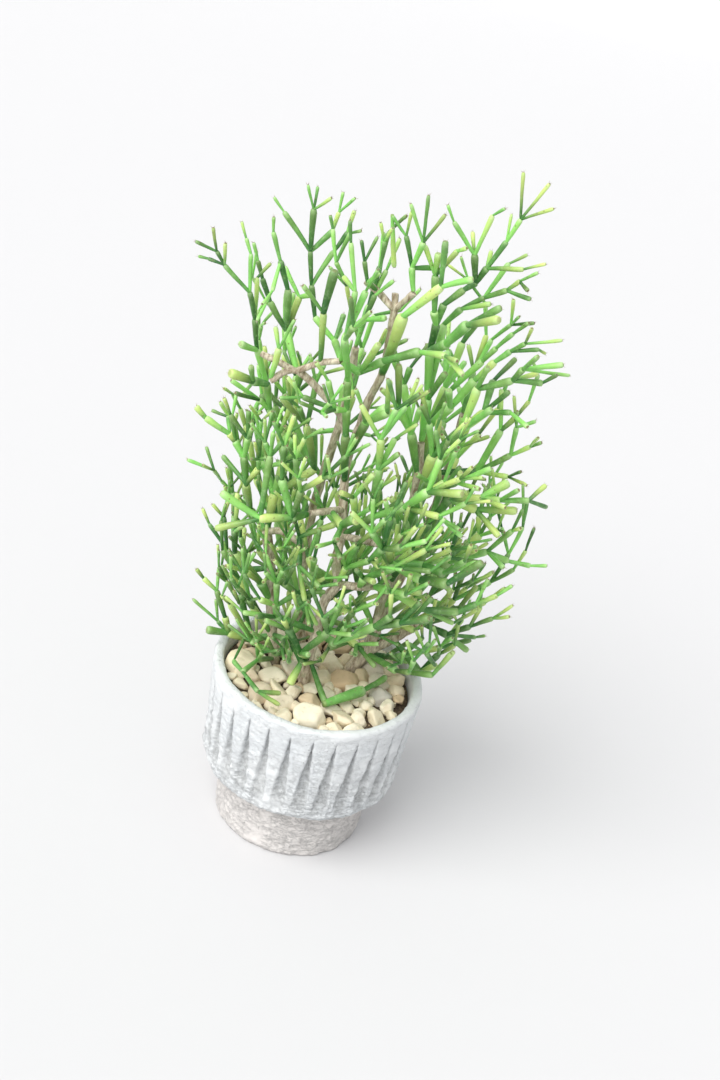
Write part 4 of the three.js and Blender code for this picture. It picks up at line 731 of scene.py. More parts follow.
    def grow_reach(self, node, base, heading, rise, count, diameter, side_count):
        """A limb that climbs outwards on its heading, and gives off side limbs right and left by turns."""
        joint, point, lift = base
        limb = self.next_limb()
        inner = []
        radius = diameter / 2
        lean = rise
        for link in range(count):
            found = None
            for attempt in range(REACH_TRIES):
                turn = heading + self.draw.within(-REACH_STRAY[0], REACH_STRAY[0]) * (1 + attempt / 3)
                up = lean + self.draw.within(-REACH_STRAY[1], REACH_STRAY[1]) * (1 + attempt / 5)
                up = min(REACH_STEEPEST, up)
                way = np.array([math.cos(turn) * math.cos(up), math.sin(turn) * math.cos(up), math.sin(up)])
                tip = point + way * segment_length(2 * radius)
                start = point + way * lift
                free = inside_crown(tip, radius) and clear_of_pot(start, tip, radius)
                if free and self.gap(start, tip, radius, joint, node) > CLEARANCE:
                    found = tip
                    break
            if found is None:
                break
            joint = self.add(point, found, radius, joint, node, limb, lift)["last"]
            point = found
            lift = 0
            if link < count - 1:
                inner.append((joint, point, radius))
            lean = min(REACH_BENT, lean + REACH_BEND)
            radius *= REACH_TAPER
        if not side_count:
            return
        for order, (joint, point, radius) in enumerate(inner):
            turn = heading + (1 if order % 2 else -1) * math.radians(SIDE_TURN)
            side_rise = rise + math.radians(SIDE_RISE)
            thick = 2 * radius * SIDE_TAPER
            self.grow_reach(node, (joint, point, 0), turn, side_rise, side_count, thick, 0)

    def grow_reaches(self, rows):
        """All the limbs of a table that grow by rule."""
        for node, limb, index, heading, rise, count, diameter in rows:
            base = self.wood_seat(limb, index)
            angles = math.radians(heading), math.radians(rise)
            self.grow_reach(node, base, *angles, count, diameter, SIDE_LINKS)

    def grow_shoot(self, segment, sisters, room):
        """One side shoot at the end of a segment, kept clear of its sisters and of everything else."""
        start, node, joint = segment["end"], segment["node"], segment["last"]
        base = unit(start - segment["start"])
        side = unit(np.cross(base, ASIDE))
        other = np.cross(base, side)
        taper = self.draw.within(*SHOOT_TAPER)
        margin = FINE_MARGIN if self.fine else 0
        if self.fine:
            taper *= FINE_TAPER
            room *= float(np.interp(start[2], *zip(*FINE_ROOM)))
        radius = max(SHOOT_THINNEST, min(SHOOT_THICKEST, segment["radius"] * taper))
        length = segment_length(2 * radius) * self.draw.within(*SHOOT_LENGTH)
        for _ in range(SHOOT_TRIES):
            turn = self.draw.within(0, 2 * math.pi)
            tilt = math.radians(self.draw.within(*SHOOT_TILT))
            way = base * math.cos(tilt) + side * (math.cos(turn) * math.sin(tilt))
            way = way + other * (math.sin(turn) * math.sin(tilt))
            way[2] += SHOOT_LIFT
            way = unit(way)
            if any(float(sister @ way) > TOO_ALIKE for sister in sisters):
                continue
            end = start + way * length
            if not inside_crown(end, radius, margin) or not clear_of_pot(start, end, radius):
                continue
            if self.gap(start, end, radius, joint, node) < CLEARANCE:
                continue
            upper = start + way * (SHOOT_UPPER * length)
            if self.gap(upper, end, radius, joint, node) < room:
                continue
            self.add(start, end, radius, joint, node, self.next_limb())
            sisters.append(way)
            return

    def grow_shoots(self, rounds):
        """Rounds of side shoots. A fine round visits every segment, another only what was added last."""
        first = 0
        for share, room in rounds:
            last = len(self.segments)
            for segment in [s for s in self.segments[first:last] if not s["wooden"]]:
                kids = [s for s in self.segments if not s["wooden"] and s["first"] == segment["last"]]
                sisters = [unit(s["end"] - s["start"]) for s in kids]
                thick = 2 * segment["radius"]
                wanted = WHORL if first == 0 or thick > STOUT_DIAMETER else WHORL - 1
                if thick < FINE_DIAMETER and not kids:
                    wanted = 0
                for _ in range(len(kids), wanted):
                    if self.draw.next() < share:
                        self.grow_shoot(segment, sisters, room)
            first = 0 if self.fine else last


def grow_plant():
    """Every segment of the plant, first those that the solids have and then the fine ones."""
    plant = Plant(SHOOT_SEED)
    plant.grow_wood()
    plant.grow_sprays(SPRAYS)
    plant.grow_reaches(REACHES)
    plant.grow_shoots(SHOOT_ROUNDS)
    plant.fine = True
    plant.grow_sprays(FINE_SPRAYS)
    plant.grow_reaches(FINE_REACHES)
    plant.grow_shoots(FINE_ROUNDS)
    return plant.segments


class Value:
    """An output socket of a node, with arithmetic on it."""

    def __init__(self, graph, socket):
        self.graph = graph
        self.socket = socket

    def math(self, operation, *sockets):
        """A Math node on these values."""
        return self.graph.node("ShaderNodeMath", {"operation": operation}, dict(enumerate(sockets)))

    def __add__(self, other):
        return self.math("ADD", self, other)

    def __radd__(self, other):
        return self.math("ADD", other, self)

    def __sub__(self, other):
        return self.math("SUBTRACT", self, other)

    def __mul__(self, other):
        return self.math("MULTIPLY", self, other)

    def __rmul__(self, other):
        return self.math("MULTIPLY", other, self)

    def crest(self, width):
        """1 where this is one half, down to 0 at this distance from it: thin winding lines, from a noise."""
        return self.math("ABSOLUTE", self - 0.5).smooth(width, 0.0)

    def smooth(self, low, high):
        """0 below low, 1 above high, and a smooth rise between, where low may be the greater one."""
        return self.graph.node("ShaderNodeMapRange", {"interpolation_type": "SMOOTHSTEP"},
                               {"Value": self, "From Min": low, "From Max": high})

    def out(self, name):
        """Another output of the same node."""
        return Value(self.graph, self.socket.node.outputs[name])


class Graph:
    """A node tree that is being built."""

    def __init__(self, tree):
        self.tree = tree

    def node(self, kind, settings=None, sockets=None, output=0):
        """A new node: its settings come first, then the values or links of its sockets."""
        made = self.tree.nodes.new(kind)
        for name, value in (settings or {}).items():
            if name == "stops":
                self.set_stops(made.color_ramp, value)
            elif name == "points":
                self.set_points(made.mapping, value)
            else:
                setattr(made, name, value)
        for key, value in (sockets or {}).items():
            if isinstance(value, Value):
                self.tree.links.new(value.socket, made.inputs[key])
            else:
                made.inputs[key].default_value = value
        return Value(self, made.outputs[output]) if made.outputs else None

    @staticmethod
    def set_stops(ramp, stops):
        """Fills a colour ramp from (position, colour) pairs."""
        while len(ramp.elements) < len(stops):
            ramp.elements.new(1)
        for element, (position, colour) in zip(ramp.elements, stops):
            element.position = position
            element.color = (*colour, 1)

    @staticmethod
    def set_points(mapping, points):
        """Fills a float curve from (x, y) pairs."""
        curve = mapping.curves[0]
        while len(curve.points) < len(points):
            curve.points.new(0.5, 0.5)
        for point, spot in zip(curve.points, points):
            point.location = spot
        mapping.update()

    def attribute(self, name):
        """A mesh attribute, in a material."""
        return self.node("ShaderNodeAttribute", {"attribute_name": name}, output="Fac")

    def named(self, name, data_type="FLOAT"):
        """A mesh attribute, in a geometry tree."""
        return self.node("GeometryNodeInputNamedAttribute", {"data_type": data_type}, {"Name": name})

    def noise(self, scale, detail=2.0, roughness=0.5, vector=None, output=0):
        """A noise texture. In a material its coordinates are the object's own, in metres."""
        sockets = {"Scale": scale, "Detail": detail, "Roughness": roughness}
        if vector is not None:
            sockets["Vector"] = vector
        return self.node("ShaderNodeTexNoise", None, sockets, output)

    def cells(self, scale, vector):
        """How far the nearest of many scattered points is."""
        sockets = {"Vector": vector, "Scale": scale}
        return self.node("ShaderNodeTexVoronoi", {"feature": "F1"}, sockets, "Distance")

    def bump(self, strength, distance, height):
        """A shading normal from a height."""
        sockets = {"Strength": strength, "Distance": distance, "Height": height}
        return self.node("ShaderNodeBump", None, sockets)

    def mix(self, factor, first, second):
        """A colour between two colours."""
        first = first if isinstance(first, Value) else (*first, 1)
        second = second if isinstance(second, Value) else (*second, 1)
        return self.node("ShaderNodeMix", {"data_type": "RGBA"}, {0: factor, 6: first, 7: second}, 2)

    def stretched(self, vector, scale):
        """Coordinates stretched or squeezed along the axes."""
        return self.node("ShaderNodeMapping", None, {"Vector": vector, "Scale": scale})

    def vector(self, operation, *sockets):
        """A Vector Math node."""
        return self.node("ShaderNodeVectorMath", {"operation": operation}, dict(enumerate(sockets)))


def new_material(name):
    """A material with an empty tree: its graph, its shader node and the object's coordinates."""
    material = bpy.data.materials.new(name)
    material.use_nodes = True
    material.node_tree.nodes.clear()
    graph = Graph(material.node_tree)
    shader = graph.node("ShaderNodeBsdfPrincipled")
    graph.node("ShaderNodeOutputMaterial", None, {"Surface": shader})
    spot = graph.node("ShaderNodeTexCoord", output="Object")
    return material, graph, shader.socket.node, spot


def feed(graph, shader, **sockets):
    """Sets or links sockets of the shader; an underscore in a name stands for a space."""
    for name, value in sockets.items():
        socket = shader.inputs[name.replace("_", " ")]
        if isinstance(value, Value):
            graph.tree.links.new(value.socket, socket)
        else:
            socket.default_value = value


def green_skin(settings):
    """Waxy skin of the stem segments: dark to mid green, darker on low segments as painted shade,
    yellow-green where young, pale at blunt ends.
    """
    material, graph, shader, spot = new_material("green_skin")
    tone = graph.attribute("tone")
    young = graph.attribute("young")
    along = graph.attribute("along")
    mottle = graph.noise(480, 3, 0.6, spot)
    clouds = graph.noise(130, 2, 0.5, spot)
    # Random tone and clouds pick between dark and mid green; the tone also carries painted shade on the low
    # segments.
    depth = (tone * 0.85 + clouds * 0.7 - 0.3).smooth(0.0, 1.0)
    colour = graph.mix(depth, settings.dark_green_and_shade, settings.mid_green)
    colour = graph.mix(young * along.smooth(0.05, 0.95), colour, settings.young_green)
    pale_end = along.smooth(0.80, 0.98) * (0.15 + 0.45 * tone)
    colour = graph.mix(pale_end, colour, settings.pale_end)
    neck = along.smooth(0.07, 0.0) * 0.5
    colour = graph.mix(neck, colour, settings.neck_brown)
    dots = graph.cells(330, spot).smooth(0.15, 0.08)
    colour = graph.mix(dots * 0.5, colour, settings.areole_brown)
    colour = graph.mix(mottle.smooth(0.5, 0.8) * 0.28, colour, settings.pale_end)
    tip = along.smooth(0.985, 1.0) * graph.attribute("tipped")
    colour = graph.mix(tip, colour, settings.areole_brown)
    bump = graph.bump(0.7, 0.0004, mottle + dots * 0.8)
    feed(graph, shader, Base_Color=colour, Roughness=0.40 + mottle * 0.2, Normal=bump, Coat_Weight=0.10)
    shader.inputs["Coat Roughness"].default_value = 0.3
    shader.inputs["Subsurface Weight"].default_value = 0.10
    shader.inputs["Subsurface Radius"].default_value = (0.4, 1.0, 0.2)
    shader.inputs["Subsurface Scale"].default_value = 0.0015
    return material


def bristle_skin(settings):
    """Thin bristles at the tips, brown and pale in turns."""
    material, graph, shader, spot = new_material("bristles")
    colour = graph.mix(graph.noise(900, 1, 0.5, spot), settings.areole_brown, settings.bristle_white)
    feed(graph, shader, Base_Color=colour, Roughness=0.6)
    return material


def bark(settings):
    """Grey-brown bark of old stems, streaked along the stem, with pale ridges and green left in places."""
    material, graph, shader, spot = new_material("bark")
    fibres = graph.noise(620, 5, 0.65, graph.stretched(spot, (1, 1, 0.3)))
    patches = graph.noise(110, 3, 0.6, spot)
    colour = graph.mix(fibres.smooth(0.3, 0.7), settings.bark_dark, settings.bark_pale)
    colour = graph.mix(patches.smooth(0.5, 0.72) * 0.6, colour, settings.bark_green)
    grain = graph.noise(1500, 3, 0.7, graph.stretched(spot, (1, 1, 0.3)))
    bump = graph.bump(0.5, 0.0003, fibres + grain * 0.4)
    feed(graph, shader, Base_Color=colour, Roughness=0.78 + fibres * 0.15, Normal=bump)
    return material


def cement(settings):
    """Whitewashed cement: cool white; in the flutes grey, as stain and painted shade, and stained; wrinkled,
    warmer on the foot.
    """
    material, graph, shader, spot = new_material("whitewashed_cement")
    hollow = graph.attribute("hollow")
    low = graph.attribute("low")
    rough = graph.attribute("rough")
    wash = graph.noise(55, 4, 0.6, spot)
    grain = graph.noise(520, 5, 0.68, spot)
    folds = graph.noise(150, 4, 0.62, graph.stretched(spot, (1, 1, 2.6)))
    fine_folds = graph.noise(330, 3, 0.6, graph.stretched(spot, (1, 1, 2.4)))
    lines = (folds.crest(0.035) * 0.7 + fine_folds.crest(0.045) * 0.5) * rough * wash.smooth(0.30, 0.5)
    colour = graph.mix(wash.smooth(0.35, 0.75) * 0.5, settings.cement_white, settings.cement_cool)
    colour = graph.mix(low * 0.85, colour, settings.cement_warm)
    colour = graph.mix(lines * 0.6, colour, settings.cement_grey)
    # The flutes' grey is partly stain and partly painted shade, strongest where they are deepest.
    flute_stain_and_shade = hollow * (0.35 + grain.smooth(0.38, 0.62) * 0.5)
    colour = graph.mix(flute_stain_and_shade, colour, settings.cement_grey)
    streaks = graph.noise(300, 5, 0.75, graph.stretched(spot, (1, 1, 0.6))).smooth(0.57, 0.68)
    colour = graph.mix(streaks * (0.04 + hollow * 0.5), colour, settings.cement_stain)
    pits = graph.noise(800, 2, 0.5, spot).smooth(0.71, 0.76)
    colour = graph.mix(pits * 0.5, colour, settings.cement_stain)
    height = grain * 0.8 + folds * 0.5 + graph.noise(1400, 3, 0.6, spot) * 0.25 - lines * 0.7 - pits * 0.4
    bump = graph.bump(1.0, 0.0007, height)
    feed(graph, shader, Base_Color=colour, Roughness=0.82 + grain * 0.12, Normal=bump)
    return material


def stone(settings):
    """Matte pebbles: cream, beige, tan and a few grey, with tan clouds and dark speckles."""
    material, graph, shader, spot = new_material("pebble_stone")
    tone = graph.attribute("tone")
    stops = [(0.0, settings.pebble_cream), (0.38, settings.pebble_beige), (0.62, settings.pebble_cream),
             (0.80, settings.pebble_tan), (0.93, settings.pebble_beige), (1.0, settings.pebble_grey)]
    ramp = graph.node("ShaderNodeValToRGB", {"stops": stops}, {"Fac": tone})
    speckle = graph.noise(500, 4, 0.65, spot)
    clouds = graph.noise(140, 3, 0.6, spot)
    colour = graph.mix(clouds.smooth(0.45, 0.8) * 0.5, ramp, settings.pebble_tan)
    colour = graph.mix(speckle.smooth(0.58, 0.8) * 0.5, colour, settings.pebble_dark)
    bump = graph.bump(0.6, 0.0004, speckle + clouds * 0.6)
    feed(graph, shader, Base_Color=colour, Roughness=0.75 + speckle * 0.2, Normal=bump)
    return material


def potting_mix(settings):
    """Dark crumbly potting mix with a few pale grains."""
    material, graph, shader, spot = new_material("potting_mix")
    crumbs = graph.noise(600, 5, 0.7, spot)
    grains = graph.cells(420, spot)
    colour = graph.mix(crumbs.smooth(0.3, 0.7), settings.soil_dark, settings.soil_light)
    colour = graph.mix(grains.smooth(0.2, 0.1) * 0.7, colour, settings.pebble_tan)
    bump = graph.bump(1.0, 0.0008, crumbs)
    feed(graph, shader, Base_Color=colour, Roughness=0.95, Normal=bump)
    return material


def studio_paper(settings):
    """Seamless pale paper for the floor and the backdrop."""
    material, graph, shader, spot = new_material("studio_paper")
    fibre = graph.noise(30, 2, 0.5, spot)
    colour = graph.mix(fibre * 0.15, settings.paper, tuple(0.97 * part for part in settings.paper))
    feed(graph, shader, Base_Color=colour, Roughness=0.95)
    return material


def geometry_tree(name, inputs):
    """A Geometry Nodes tree with geometry in and out, and inputs given as name: (socket kind, value)."""
    tree = bpy.data.node_groups.new(name, "GeometryNodeTree")
    tree.interface.new_socket("Geometry", in_out="INPUT", socket_type="NodeSocketGeometry")
    tree.interface.new_socket("Geometry", in_out="OUTPUT", socket_type="NodeSocketGeometry")
    for label, (kind, value) in inputs.items():
        item = tree.interface.new_socket(label, in_out="INPUT", socket_type=kind)
        item.default_value = value
    entry = tree.nodes.new("NodeGroupInput")
    graph = Graph(tree)
    return graph, {socket.name: Value(graph, socket) for socket in entry.outputs if socket.name}


def end_tree(graph, geometry, material):
    """The end of every tree: instances made real, smooth shading, the material and the output."""
    real = graph.node("GeometryNodeRealizeInstances", None, {"Geometry": geometry})
    soft = graph.node("GeometryNodeSetShadeSmooth", None, {"Geometry": real})
    done = graph.node("GeometryNodeSetMaterial", None, {"Geometry": soft, "Material": material})
    out = graph.tree.nodes.new("NodeGroupOutput")
    graph.tree.links.new(done.socket, out.inputs["Geometry"])
    return graph.tree


def moved(graph, geometry, offset):
    """The geometry with its points moved by an offset."""
    return graph.node("GeometryNodeSetPosition", None, {"Geometry": geometry, "Offset": offset})


def wobble(graph, scale, amount, seed):
    """An offset that drifts smoothly through space, so that what is joined stays joined."""
    spot = graph.node("GeometryNodeInputPosition")
    shifted = graph.vector("ADD", spot, graph.node("ShaderNodeCombineXYZ", None, {"X": seed}))
    drift = graph.noise(scale, 1, 0.5, shifted, "Color")
    centred = graph.vector("SUBTRACT", drift, (0.5, 0.5, 0.5))
    return graph.node("ShaderNodeVectorMath", {"operation": "SCALE"}, {"Vector": centred, "Scale": amount})


def relief(graph, scale, amount, seed, detail=3.0, stretch=(1, 1, 1)):
    """An offset along the surface's normal, from noise."""
    spot = graph.node("GeometryNodeInputPosition")
    spot = graph.vector("MULTIPLY", spot, stretch)
    shifted = graph.vector("ADD", spot, graph.node("ShaderNodeCombineXYZ", None, {"X": seed}))
    height = (graph.noise(scale, detail, 0.55, shifted) - 0.5) * amount
    normal = graph.node("GeometryNodeInputNormal")
    return graph.node("ShaderNodeVectorMath", {"operation": "SCALE"}, {"Vector": normal, "Scale": height})


def segment_tree(material):
    """Bottle-shaped stem segments on points that hold their direction, radius, length and tints."""
    graph, given = geometry_tree("Grow stem segments", {
        "Sides": ("NodeSocketInt", 9), "Wander": ("NodeSocketFloat", 0.0009),
        "Knobs": ("NodeSocketFloat", 0.0003), "Seed": ("NodeSocketFloat", 3.0),
        "Material": ("NodeSocketMaterial", material)})
    tube = graph.node("GeometryNodeMeshCylinder", {"fill_type": "NGON"},
                      {"Vertices": given["Sides"], "Side Segments": 8, "Radius": 1.0, "Depth": 1.0})
    spot = graph.node("ShaderNodeSeparateXYZ", None, {"Vector": graph.node("GeometryNodeInputPosition")})
    row = spot.out("Z") + 0.5
    height = graph.node("ShaderNodeFloatCurve", {"points": SEGMENT_HEIGHTS}, {"Value": row})
    width = graph.node("ShaderNodeFloatCurve", {"points": SEGMENT_WIDTHS}, {"Value": row})
    shape = graph.node("ShaderNodeCombineXYZ", None,
                       {"X": spot.out("X") * width, "Y": spot.out("Y") * width, "Z": height})
    bottle = graph.node("GeometryNodeStoreNamedAttribute", {"data_type": "FLOAT"},
                        {"Geometry": tube, "Name": "along", "Value": height})
    bottle = graph.node("GeometryNodeSetPosition", None, {"Geometry": bottle, "Position": shape})
    turn = graph.node("FunctionNodeAlignRotationToVector", {"axis": "Z"},
                      {"Vector": graph.named("way", "FLOAT_VECTOR")})
    girth = graph.named("girth")
    scale = graph.node("ShaderNodeCombineXYZ", None, {"X": girth, "Y": girth, "Z": graph.named("reach")})
    grown = graph.node("GeometryNodeInstanceOnPoints", None,
                       {"Points": given["Geometry"], "Instance": bottle, "Rotation": turn, "Scale": scale})
    grown = graph.node("GeometryNodeRealizeInstances", None, {"Geometry": grown})
    grown = moved(graph, grown, relief(graph, 420.0, given["Knobs"], given["Seed"], 1.0))
    grown = moved(graph, grown, wobble(graph, 70.0, given["Wander"], given["Seed"]))
    return end_tree(graph, grown, given["Material"])


def bristle_tree(material):
    """A tuft of thin bristles on each point, spread round the point's direction."""
    graph, given = geometry_tree("Grow tip bristles", {
        "Length": ("NodeSocketFloat", 0.0012), "Thickness": ("NodeSocketFloat", 0.00011),
        "Material": ("NodeSocketMaterial", material)})
    hair = graph.node("GeometryNodeMeshCone", None, {
        "Vertices": 3, "Radius Top": 0.0, "Radius Bottom": given["Thickness"],
        "Depth": given["Length"]}, "Mesh")
    turn = graph.node("FunctionNodeAlignRotationToVector", {"axis": "Z"},
                      {"Vector": graph.named("way", "FLOAT_VECTOR")})
    grown = graph.node("GeometryNodeInstanceOnPoints", None,
                       {"Points": given["Geometry"], "Instance": hair, "Rotation": turn,
                        "Scale": graph.named("reach")})
    return end_tree(graph, grown, given["Material"])


def bark_tree(material):
    """Stems swept along their edges with the points' own radius, then roughened."""
    graph, given = geometry_tree("Sweep woody stems", {
        "Sides": ("NodeSocketInt", 16), "Step": ("NodeSocketFloat", 0.0010),
        "Furrows": ("NodeSocketFloat", 0.0003), "Lumps": ("NodeSocketFloat", 0.0010),
        "Seed": ("NodeSocketFloat", 5.0), "Material": ("NodeSocketMaterial", material)})
    line = graph.node("GeometryNodeMeshToCurve", None, {"Mesh": given["Geometry"]})
    line = graph.node("GeometryNodeCurveSplineType", {"spline_type": "CATMULL_ROM"}, {"Curve": line})
    line = graph.node("GeometryNodeResampleCurve", {"mode": "LENGTH"},
                      {"Curve": line, "Length": given["Step"]})
    ring = graph.node("GeometryNodeCurvePrimitiveCircle", None,
                      {"Resolution": given["Sides"], "Radius": 1.0})
    sockets = {"Curve": line, "Profile Curve": ring, "Scale": graph.named("girth"), "Fill Caps": True}
    tube = graph.node("GeometryNodeCurveToMesh", None, sockets)
    tube = moved(graph, tube, relief(graph, 190.0, given["Lumps"], given["Seed"], 1.0))
    tube = moved(graph, tube, relief(graph, 900.0, given["Furrows"], given["Seed"], 3.0, (1, 1, 0.2)))
    return end_tree(graph, tube, given["Material"])


def pebble_tree(material, stones):
    """Stones from a small set, laid on points that hold which one, how it is turned, and its size."""
    graph, given = geometry_tree("Lay pebbles", {
        "Roughness": ("NodeSocketFloat", 0.0016), "Seed": ("NodeSocketFloat", 9.0),
        "Stones": ("NodeSocketCollection", stones), "Material": ("NodeSocketMaterial", material)})
    set_of = graph.node("GeometryNodeCollectionInfo", None, {
        "Collection": given["Stones"], "Separate Children": True, "Reset Children": True})
    turn = graph.node("FunctionNodeEulerToRotation", None, {"Euler": graph.named("turn", "FLOAT_VECTOR")})
    laid = graph.node("GeometryNodeInstanceOnPoints", None, {
        "Points": given["Geometry"], "Instance": set_of, "Pick Instance": True,
        "Instance Index": graph.named("kind", "INT"), "Rotation": turn,
        "Scale": graph.named("size", "FLOAT_VECTOR")})
    laid = graph.node("GeometryNodeRealizeInstances", None, {"Geometry": laid})
    laid = moved(graph, laid, relief(graph, 230.0, given["Roughness"], given["Seed"], 4.0))
    return end_tree(graph, laid, given["Material"])


def cast_tree(material):
    """Cement relief: wrinkles that run round the pot and finer grain, stronger where the points say so."""
    graph, given = geometry_tree("Cast rough cement", {
        "Wrinkles": ("NodeSocketFloat", 0.0048), "Grain": ("NodeSocketFloat", 0.0018),
        "Seed": ("NodeSocketFloat", 2.0), "Holes": ("NodeSocketInt", 3),
        "Hole Radius": ("NodeSocketFloat", 0.003), "Hole Circle": ("NodeSocketFloat", 0.020),
        "Material": ("NodeSocketMaterial", material)})
    rough = graph.named("rough")
    cast = moved(graph, given["Geometry"],
                 relief(graph, 105.0, given["Wrinkles"] * rough, given["Seed"], 4.0, (1, 1, 2.3)))
    cast = moved(graph, cast, relief(graph, 360.0, given["Grain"] * rough, given["Seed"], 3.0, (1, 1, 1.6)))
    ring = graph.node("GeometryNodeMeshCircle", None,
                      {"Vertices": given["Holes"], "Radius": given["Hole Circle"]})
    ring = graph.node("GeometryNodeTransform", None, {"Geometry": ring, "Rotation": (0, 0, math.pi / 2)})
    drill = graph.node("GeometryNodeMeshCylinder", None,
                       {"Vertices": 24, "Radius": given["Hole Radius"], "Depth": 0.03})
    drills = graph.node("GeometryNodeInstanceOnPoints", None, {"Points": ring, "Instance": drill})
    drills = graph.node("GeometryNodeRealizeInstances", None, {"Geometry": drills})
    cast = graph.node("GeometryNodeMeshBoolean", {"operation": "DIFFERENCE", "solver": "MANIFOLD"},
                      {"Mesh 1": cast, "Mesh 2": drills})
    return end_tree(graph, cast, given["Material"])


def crumb_tree(material):
    """Crumbs on the top of the soil."""
    graph, given = geometry_tree("Crumble soil", {
        "Crumbs": ("NodeSocketFloat", 0.0022), "Seed": ("NodeSocketFloat", 4.0),
        "Material": ("NodeSocketMaterial", material)})
    loose = graph.named("loose")
    soil = moved(graph, given["Geometry"], relief(graph, 300.0, given["Crumbs"] * loose, given["Seed"], 5.0))
    return end_tree(graph, soil, given["Material"])


# The rows of a stem segment from neck to tip: how far along each lies, and its share of the full radius.
SEGMENT_HEIGHTS = [(0, 0), (0.125, 0.03), (0.25, 0.12), (0.375, 0.32), (0.5, 0.56), (0.625, 0.78),
                   (0.75, 0.91), (0.875, 0.975), (1, 1)]
SEGMENT_WIDTHS = [(0, 0.58), (0.125, 0.64), (0.25, 0.70), (0.375, 0.79), (0.5, 0.89), (0.625, 0.98),
                  (0.75, 1.0), (0.875, 0.86), (1, 0.45)]


def mesh_object(name, vertices, edges=(), faces=()):
    """A new object at the origin with this mesh."""
    mesh = bpy.data.meshes.new(name)
    mesh.from_pydata([tuple(v) for v in vertices], list(edges), list(faces))
    obj = bpy.data.objects.new(name, mesh)
    bpy.context.scene.collection.objects.link(obj)
    return obj


def store(obj, name, kind, values):
    """Writes one attribute to the object's points."""
    attribute = obj.data.attributes.new(name, kind, "POINT")
    flat = np.asarray(values, np.int32 if kind == "INT" else np.float32).ravel()
    attribute.data.foreach_set("vector" if kind == "FLOAT_VECTOR" else "value", flat)


def run_tree(obj, tree, **values):
    """Runs a tree on the object, with inputs set by name, and leaves it the plain mesh that comes out."""
    modifier = obj.modifiers.new(tree.name, "NODES")
    modifier.node_group = tree
    for item in tree.interface.items_tree:
        if item.in_out == "INPUT" and item.name in values:
            modifier[item.identifier] = values[item.name]
    depsgraph = bpy.context.evaluated_depsgraph_get()
    shaped = obj.evaluated_get(depsgraph)
    mesh = bpy.data.meshes.new_from_object(shaped, preserve_all_data_layers=True, depsgraph=depsgraph)
    obj.modifiers.clear()
    obj.data = mesh
    if not mesh.polygons:
        raise RuntimeError(f"{obj.name} came out empty")


def settle(obj, slot, *nodes):
    """Fixes a finished piece to the body and hides the solids that it stands for."""
    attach(obj, "root")
    if nodes:
        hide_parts(*nodes)


def lathe(name, profile, columns):
    """A closed body from (radius, height) pairs in mm, from axis to axis, and its rows of vertices.

    columns gives the angles of one row for its height."""
    vertices = []
    rows = []
    for radius, height in profile:
        if radius < 1e-6:
            rows.append([len(vertices)])
            vertices.append((0, 0, height * MM))
            continue
        angles = columns(height)
        rows.append(list(range(len(vertices), len(vertices) + len(angles))))
        vertices.extend((radius * math.cos(a) * MM, radius * math.sin(a) * MM, height * MM) for a in angles)
    faces = []
    for low, high in zip(rows, rows[1:]):
        count = max(len(low), len(high))
        for k in range(count):
            j = (k + 1) % count
            if len(low) == 1:
                faces.append((low[0], high[j], high[k]))
            elif len(high) == 1:
                faces.append((low[k], low[j], high[0]))
            else:
                faces.append((low[k], low[j], high[j], high[k]))
    return mesh_object(name, vertices, faces=faces), rows


def steps(start, end, count):
    """Points from start up to but without end."""
    return [tuple(a + (b - a) * k / count for a, b in zip(start, end)) for k in range(count)]


# The plant's segments, grown once for all the operators.
SEGMENTS = grow_plant()
HAS_KIDS = {segment["first"] for segment in SEGMENTS if not segment["wooden"]}


def count_setting(name, description, default):
    """A setting that is a whole number, three or more."""
    return bpy.props.IntProperty(name=name, description=description, default=default, min=3)


def plain_setting(name, description, default, **more):
    """A setting that is a plain number."""
    return bpy.props.FloatProperty(name=name, description=description, default=default, **more)


def length_setting(name, description, default):
    """A setting that is a length in metres."""
    return plain_setting(name, description, default, subtype="DISTANCE")


def colour_setting(name, description, default):
    """A setting that is a colour."""
    return bpy.props.FloatVectorProperty(
        name=name, description=description, default=default, subtype="COLOR")


class CactusPotSettings(bpy.types.PropertyGroup):
    """Sizes and colours of the pot."""

    flutes: count_setting("Flutes", "Upright grooves round the cup", 30)
    flute_width: plain_setting("Flute half width", "Half a flute's width at its widest, in mm", 4.3)
    flute_depth: plain_setting("Flute depth", "How deep a flute is at its deepest, in mm", 2.7)
    flute_top: plain_setting("Flute top", "Height of the flutes' upper ends, in mm", 80.5)
    flute_foot: plain_setting("Flute foot", "Height of the flutes' lower ends, in mm", 34.5)
    foot_radius: plain_setting("Foot radius", "Radius of the plain foot, in mm", 36.2)
    wrinkles: length_setting("Wrinkles", "Height of the cement's wrinkles", 0.0048)
    cement_white: colour_setting("Whitewash", "Main colour of the cement", (0.75, 0.77, 0.78))
    cement_cool: colour_setting("Cool wash", "Blue-grey clouds in the wash", (0.70, 0.74, 0.77))
    cement_warm: colour_setting("Warm foot", "Warmer tint of the foot", (0.74, 0.70, 0.67))
    # This grey marks crack lines and stain, and paints shade in the flutes.
    cement_grey: colour_setting("Stain and shade grey", "Grey of flutes and creases", (0.45, 0.46, 0.46))
    cement_stain: colour_setting("Stain", "Dark specks and stains", (0.20, 0.20, 0.20))


